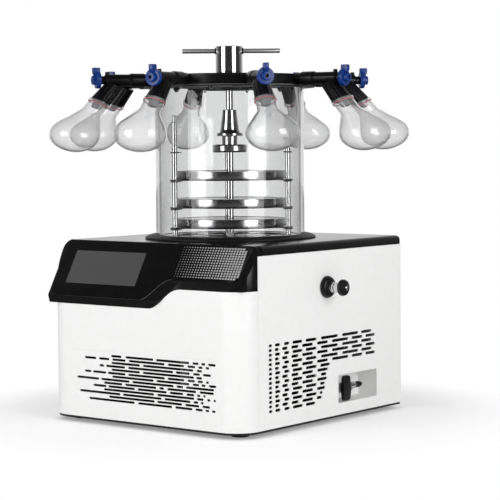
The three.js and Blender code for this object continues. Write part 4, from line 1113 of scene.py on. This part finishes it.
def condenser():
    low, high = span("condenser")
    parts = []
    front = high.y - 40
    count = 52
    for k in range(count):
        x = low.x + 2 + (high.x - low.x - 4) * k / (count - 1)
        parts.append(prism_data([rect((x - 0.35, x + 0.35), (front, high.y - 1))],
                                low.z + 3, high.z - 3))
    for k in range(5):
        z = low.z + 25 + k * (high.z - low.z - 50) / 4
        for dy in (12, 28):
            pipe = rod_data(4.6, low.x + 0.5, high.x - 0.5, 16)
            parts.append(moved(pipe, to_axis((1, 0, 0), (0, front + dy, z))))
    for x in (low.x, high.x - 1.6):
        parts.append(prism_data([rect((x, x + 1.6), (front, high.y))], low.z, high.z))
    parts.append(moved(rod_data(14, low.y, front + 2, 32), to_axis((0, 1, 0), (FAN[0], 0, FAN[1]))))
    for turn in (45, 135, 225, 315):
        a = turn * RAD
        arm = tube_data([(FAN[0], front - 1, FAN[1]),
                         (FAN[0] + 90 * math.cos(a), front - 1, FAN[1] + 90 * math.sin(a))], 2.5, 8)
        parts.append(arm)
    make("condenser_fins", *join(parts), FIN, replaces=["condenser"])


def fan():
    low, high = span("condenser_fan")
    y = (low.y + high.y) / 2
    parts = [moved(lathe_data(fillet([(0, -13.8), (18, -13.8), (18, 13.8), (0, 13.8)], 2.4, 4,
                                     closed=False), 40), to_axis((0, 1, 0), (FAN[0], y, FAN[1])))]
    for k in range(5):
        turn = Matrix.Translation((FAN[0], y, FAN[1])) @ Matrix.Rotation(k * 72 * RAD, 4, "Y")
        verts, faces = [], []
        steps = 8
        for i in range(steps + 1):
            r = 15 + 48 * i / steps
            pitch = (0.62 - 0.2 * i / steps)
            wide = 13 + 2.2 * math.sin(math.pi * i / steps)
            for side, lift in ((-1, -0.8), (-1, 0.8), (1, 0.8), (1, -0.8)):
                x = side * wide * math.cos(pitch) - lift * math.sin(pitch)
                d = side * wide * math.sin(pitch) * 0.9 + lift * math.cos(pitch)
                verts.append((x, d, r))
        for i in range(steps):
            for j in range(4):
                a, b = i * 4 + j, i * 4 + (j + 1) % 4
                faces.append((a, b, b + 4, a + 4))
        faces += [(0, 1, 2, 3), tuple(steps * 4 + j for j in range(4))]
        parts.append(moved((verts, faces), turn))
    make("fan_rotor", *join(parts), PLASTIC, body="fan", replaces=["condenser_fan"])


def repaint(node, surface):
    o = frame["nodes"][node]
    o.data.materials.clear()
    o.data.materials.append(surface)
    for p in o.data.polygons:
        p.material_index = 0


def power_inlet():
    low, high = span("power_inlet")
    plate = round_rect((INLET_X[0] - 6, INLET_X[1] + 6), (INLET_Z[0] - 6, INLET_Z[1] + 6), 5)
    socket = fillet([(-193.5, 60), (-166.5, 60), (-166.5, 74), (-171, 80), (-189, 80),
                     (-193.5, 74)], 2, 3)
    cut = round_rect((-192, -168), (83, 109), 1)
    bezel = bm_from(*prism_data([plate, socket, cut], high.y - 2.6, high.y), place=ALONG_Y)
    soften(bezel, 0.6, 2, 60)
    finish_mesh("inlet_plate", bezel, PLASTIC, replaces=["power_inlet"])
    tub = prism_data([round_rect((INLET_X[0] + 1, INLET_X[1] - 1), (INLET_Z[0] + 1, 82), 2),
                      socket], low.y, high.y - 2.7)
    floor = prism_data([round_rect((INLET_X[0] + 1, INLET_X[1] - 1), (INLET_Z[0] + 1, 82), 2)],
                       low.y, low.y + 2)
    make("inlet_tub", *join([tub, floor]), PLASTIC, place=ALONG_Y)
    pins = []
    for x, z in ((-187, 67), (-173, 67), (-180, 73)):
        pins.append(prism_data([rect((x - 0.8, x + 0.8), (z - 2.2, z + 2.2))],
                               low.y + 2, high.y - 6))
    make("inlet_pins", *join(pins), POLISHED, place=ALONG_Y)


def inside_and_rear():
    compressor()
    condenser()
    fan()
    power_inlet()
    vacuum_pipe()


def recess_box():
    (y0, y1), (z0, z1) = RECESS_Y, RECESS_Z
    x1, x0 = HALF_W - SHEET, HALF_W - RECESS_DEPTH
    w = 1.5
    outside = round_rect((y0 - w, y1 + w), (z0 - w, z1 + w), 3 + w, 6)
    rim = prism_data([outside, round_rect((y0, y1), (z0, z1), 3, 6)], x0 + w, x1 - GAP)
    floor = prism_data([outside], x0, x0 + w)
    make("recess_skin", *join([rim, floor]), WHITE, replaces=["recess_box"], place=ALONG_X)
    inner, outer = w + 0.1, w + 0.9
    sleeve = prism_data([round_rect((y0 - outer, y1 + outer), (z0 - outer, z1 + outer),
                                    3 + outer, 6),
                         round_rect((y0 - inner, y1 + inner), (z0 - inner, z1 + inner),
                                    3 + inner, 6)], x0, x1 - GAP)
    make("recess_sleeve", *sleeve, PLASTIC, place=ALONG_X)


def build():
    front_panel()
    vent_border()
    side_panel("side_panel_right", 1)
    side_panel("side_panel_left", -1)
    vent_shade_sheet()
    rear_panel()
    rear_screws()
    base_tray()
    feet()
    top_cap()
    fascia()
    fascia_glass()
    touch_screen()
    halftone()
    recess_box()
    cold_trap()
    base_ring()
    chamber_tube()
    rack()
    rack_clips()
    for i in (1, 2, 3):
        shelf(i)
    lid()
    lid_bolts()
    lid_seal()
    handle()
    press()
    for i in range(len(PORT_TURNS)):
        valve_body(i)
        valve_knob(i)
        flask(i)
    relief_valve()
    drain_valve()
    inside_and_rear()
    repaint("rocker_switch", PLASTIC)


# ---------------- picture
CAMERA_AT = (2229.1, -2781.4, 537.9)      # about the chamber's axis
CAMERA_TURN, CAMERA_DIP, CAMERA_ROLL = 38.095 * RAD, 3.468 * RAD, -0.42 * RAD
LENS = 130.27
AIM = Vector((0, 0, 0.36))


def camera():
    data = bpy.data.cameras.new("camera")
    data.lens = LENS
    data.sensor_width = 36
    data.clip_end = 60
    cam = bpy.data.objects.new("camera", data)
    st, ct = math.sin(CAMERA_TURN), math.cos(CAMERA_TURN)
    sd, cd = math.sin(CAMERA_DIP), math.cos(CAMERA_DIP)
    ahead = Vector((-st * cd, ct * cd, -sd))
    right = Vector((ct, st, 0))
    up = right.cross(ahead)
    c, s = math.cos(CAMERA_ROLL), math.sin(CAMERA_ROLL)
    right, up = right * c + up * s, up * c - right * s
    place = Matrix((right, up, -ahead)).transposed().to_4x4()
    place.translation = (Vector(CAMERA_AT) + AXIS) * MM
    cam.matrix_world = place
    bpy.context.scene.collection.objects.link(cam)
    bpy.context.scene.camera = cam
    return cam


def softbox(name, turn, distance, height, size, power):
    """Area lamp at an angle from the camera's side, aimed at the object."""
    data = bpy.data.lights.new(name, "AREA")
    data.shape = "RECTANGLE"
    data.size, data.size_y = size
    data.energy = power
    lamp = bpy.data.objects.new(name, data)
    a = CAMERA_TURN + turn * RAD
    at = Vector((distance * math.sin(a), -distance * math.cos(a), height))
    lamp.matrix_world = Matrix.Translation(at) @ \
        (at - AIM).to_track_quat("Z", "Y").to_matrix().to_4x4()
    lamp.visible_camera = False
    bpy.context.scene.collection.objects.link(lamp)


WHITE_LIGHT = (1, 1, 1, 1)
FILL = 0.5
GLOSS_BACK, GLOSS_FRONT = 0.85, 0.04
GLOSS_TURN, GLOSS_CURVE = 0.2, 2.2


def studio_gloss(g, direction):
    """What metal and glass mirror: dark in front, rising to white behind the object."""
    away = Vector((-math.sin(CAMERA_TURN), math.cos(CAMERA_TURN), 0))
    dot = g.node("ShaderNodeVectorMath", i0=direction, i1=away)
    dot.operation = "DOT_PRODUCT"
    share = g.math("MULTIPLY_ADD", dot.outputs["Value"], 1 - GLOSS_TURN, GLOSS_TURN, clamp=True)
    return g.math("MULTIPLY_ADD", g.math("POWER", share, GLOSS_CURVE), GLOSS_BACK, GLOSS_FRONT)


def line_of_sight(g, ray):
    """1 for what the camera sees directly or through clear walls, not in a mirror."""
    straight = g.math("SUBTRACT", 1.0, ray.outputs["Glossy Depth"], clamp=True)
    through = g.math("MULTIPLY", ray.outputs["Is Transmission Ray"], straight)
    return g.math("ADD", ray.outputs["Is Camera Ray"], through, clamp=True)


def world():
    """White to the camera and through glass, dim fill, and the studio in reflections."""
    w = bpy.data.worlds.new("studio")
    bpy.context.scene.world = w
    w.use_nodes = True
    g = Graph(w.node_tree)
    ray = g.node("ShaderNodeLightPath")
    place = g.node("ShaderNodeTexCoord")
    white = line_of_sight(g, ray)
    other = g.math("SUBTRACT", 1.0, white)
    gloss = g.math("MULTIPLY", other, ray.outputs["Is Glossy Ray"])
    fill = g.math("MULTIPLY", g.math("SUBTRACT", other, gloss), FILL)
    mirrored = g.math("MULTIPLY", gloss, studio_gloss(g, place.outputs["Generated"]))
    level = g.math("ADD", g.math("ADD", white, mirrored), fill)
    light = g.node("ShaderNodeBackground", Color=WHITE_LIGHT, Strength=level)
    g.node("ShaderNodeOutputWorld", Surface=light.outputs[0])


FLOOR_LIFT = 0.24
FLOOR_NEAR, FLOOR_FAR = 0.36, 0.62
FLOOR_MIRRORED = 0.14
FLOOR_HALF = 9                             # metres


def floor():
    """Pale ground that keeps the object's shadow and runs out into the studio."""
    verts = [(x, y, 0) for x, y in rect((-FLOOR_HALF, FLOOR_HALF), (-FLOOR_HALF, FLOOR_HALF))]
    mesh = bpy.data.meshes.new("floor")
    mesh.from_pydata(verts, [], [(0, 1, 2, 3)])
    ground = bpy.data.objects.new("floor", mesh)
    bpy.context.scene.collection.objects.link(ground)
    m = bpy.data.materials.new("ground")
    m.use_nodes = True
    g = Graph(m.node_tree)
    ray = g.node("ShaderNodeLightPath")
    place = g.node("ShaderNodeTexCoord")
    length = g.node("ShaderNodeVectorMath", i0=place.outputs["Object"])
    length.operation = "LENGTH"
    far = g.node("ShaderNodeMapRange", **{"Value": length.outputs["Value"],
                                          "From Min": FLOOR_NEAR, "From Max": FLOOR_FAR})
    far.interpolation_type = "SMOOTHSTEP"
    seen = line_of_sight(g, ray)
    gloss = g.math("MULTIPLY", g.math("SUBTRACT", 1.0, seen), ray.outputs["Is Glossy Ray"])
    paint = g.node("ShaderNodeBsdfDiffuse", Color=(0.86, 0.86, 0.86, 1))
    lift = g.node("ShaderNodeEmission", Color=WHITE_LIGHT,
                  Strength=g.math("MULTIPLY", seen, FLOOR_LIFT))
    near = g.node("ShaderNodeAddShader", i0=paint.outputs[0], i1=lift.outputs[0])
    level = g.math("ADD", seen, g.math("MULTIPLY", gloss, FLOOR_MIRRORED))
    plain = g.node("ShaderNodeEmission", Color=WHITE_LIGHT, Strength=level)
    run = g.math("MULTIPLY", far.outputs["Result"], g.math("ADD", seen, gloss, clamp=True))
    edge = g.node("ShaderNodeMixShader", Fac=run, i1=near.outputs[0], i2=plain.outputs[0])
    g.node("ShaderNodeOutputMaterial", Surface=edge.outputs[0])
    mesh.materials.append(m)


def stage():
    camera()
    softbox("key_left", -51, 2.6, 0.8, (1.35, 1.8), 34)
    softbox("key_right", 43, 2.6, 0.8, (1.3, 1.8), 34)
    world()
    floor()
    bpy.context.scene.view_settings.view_transform = "Standard"


build()
stage()
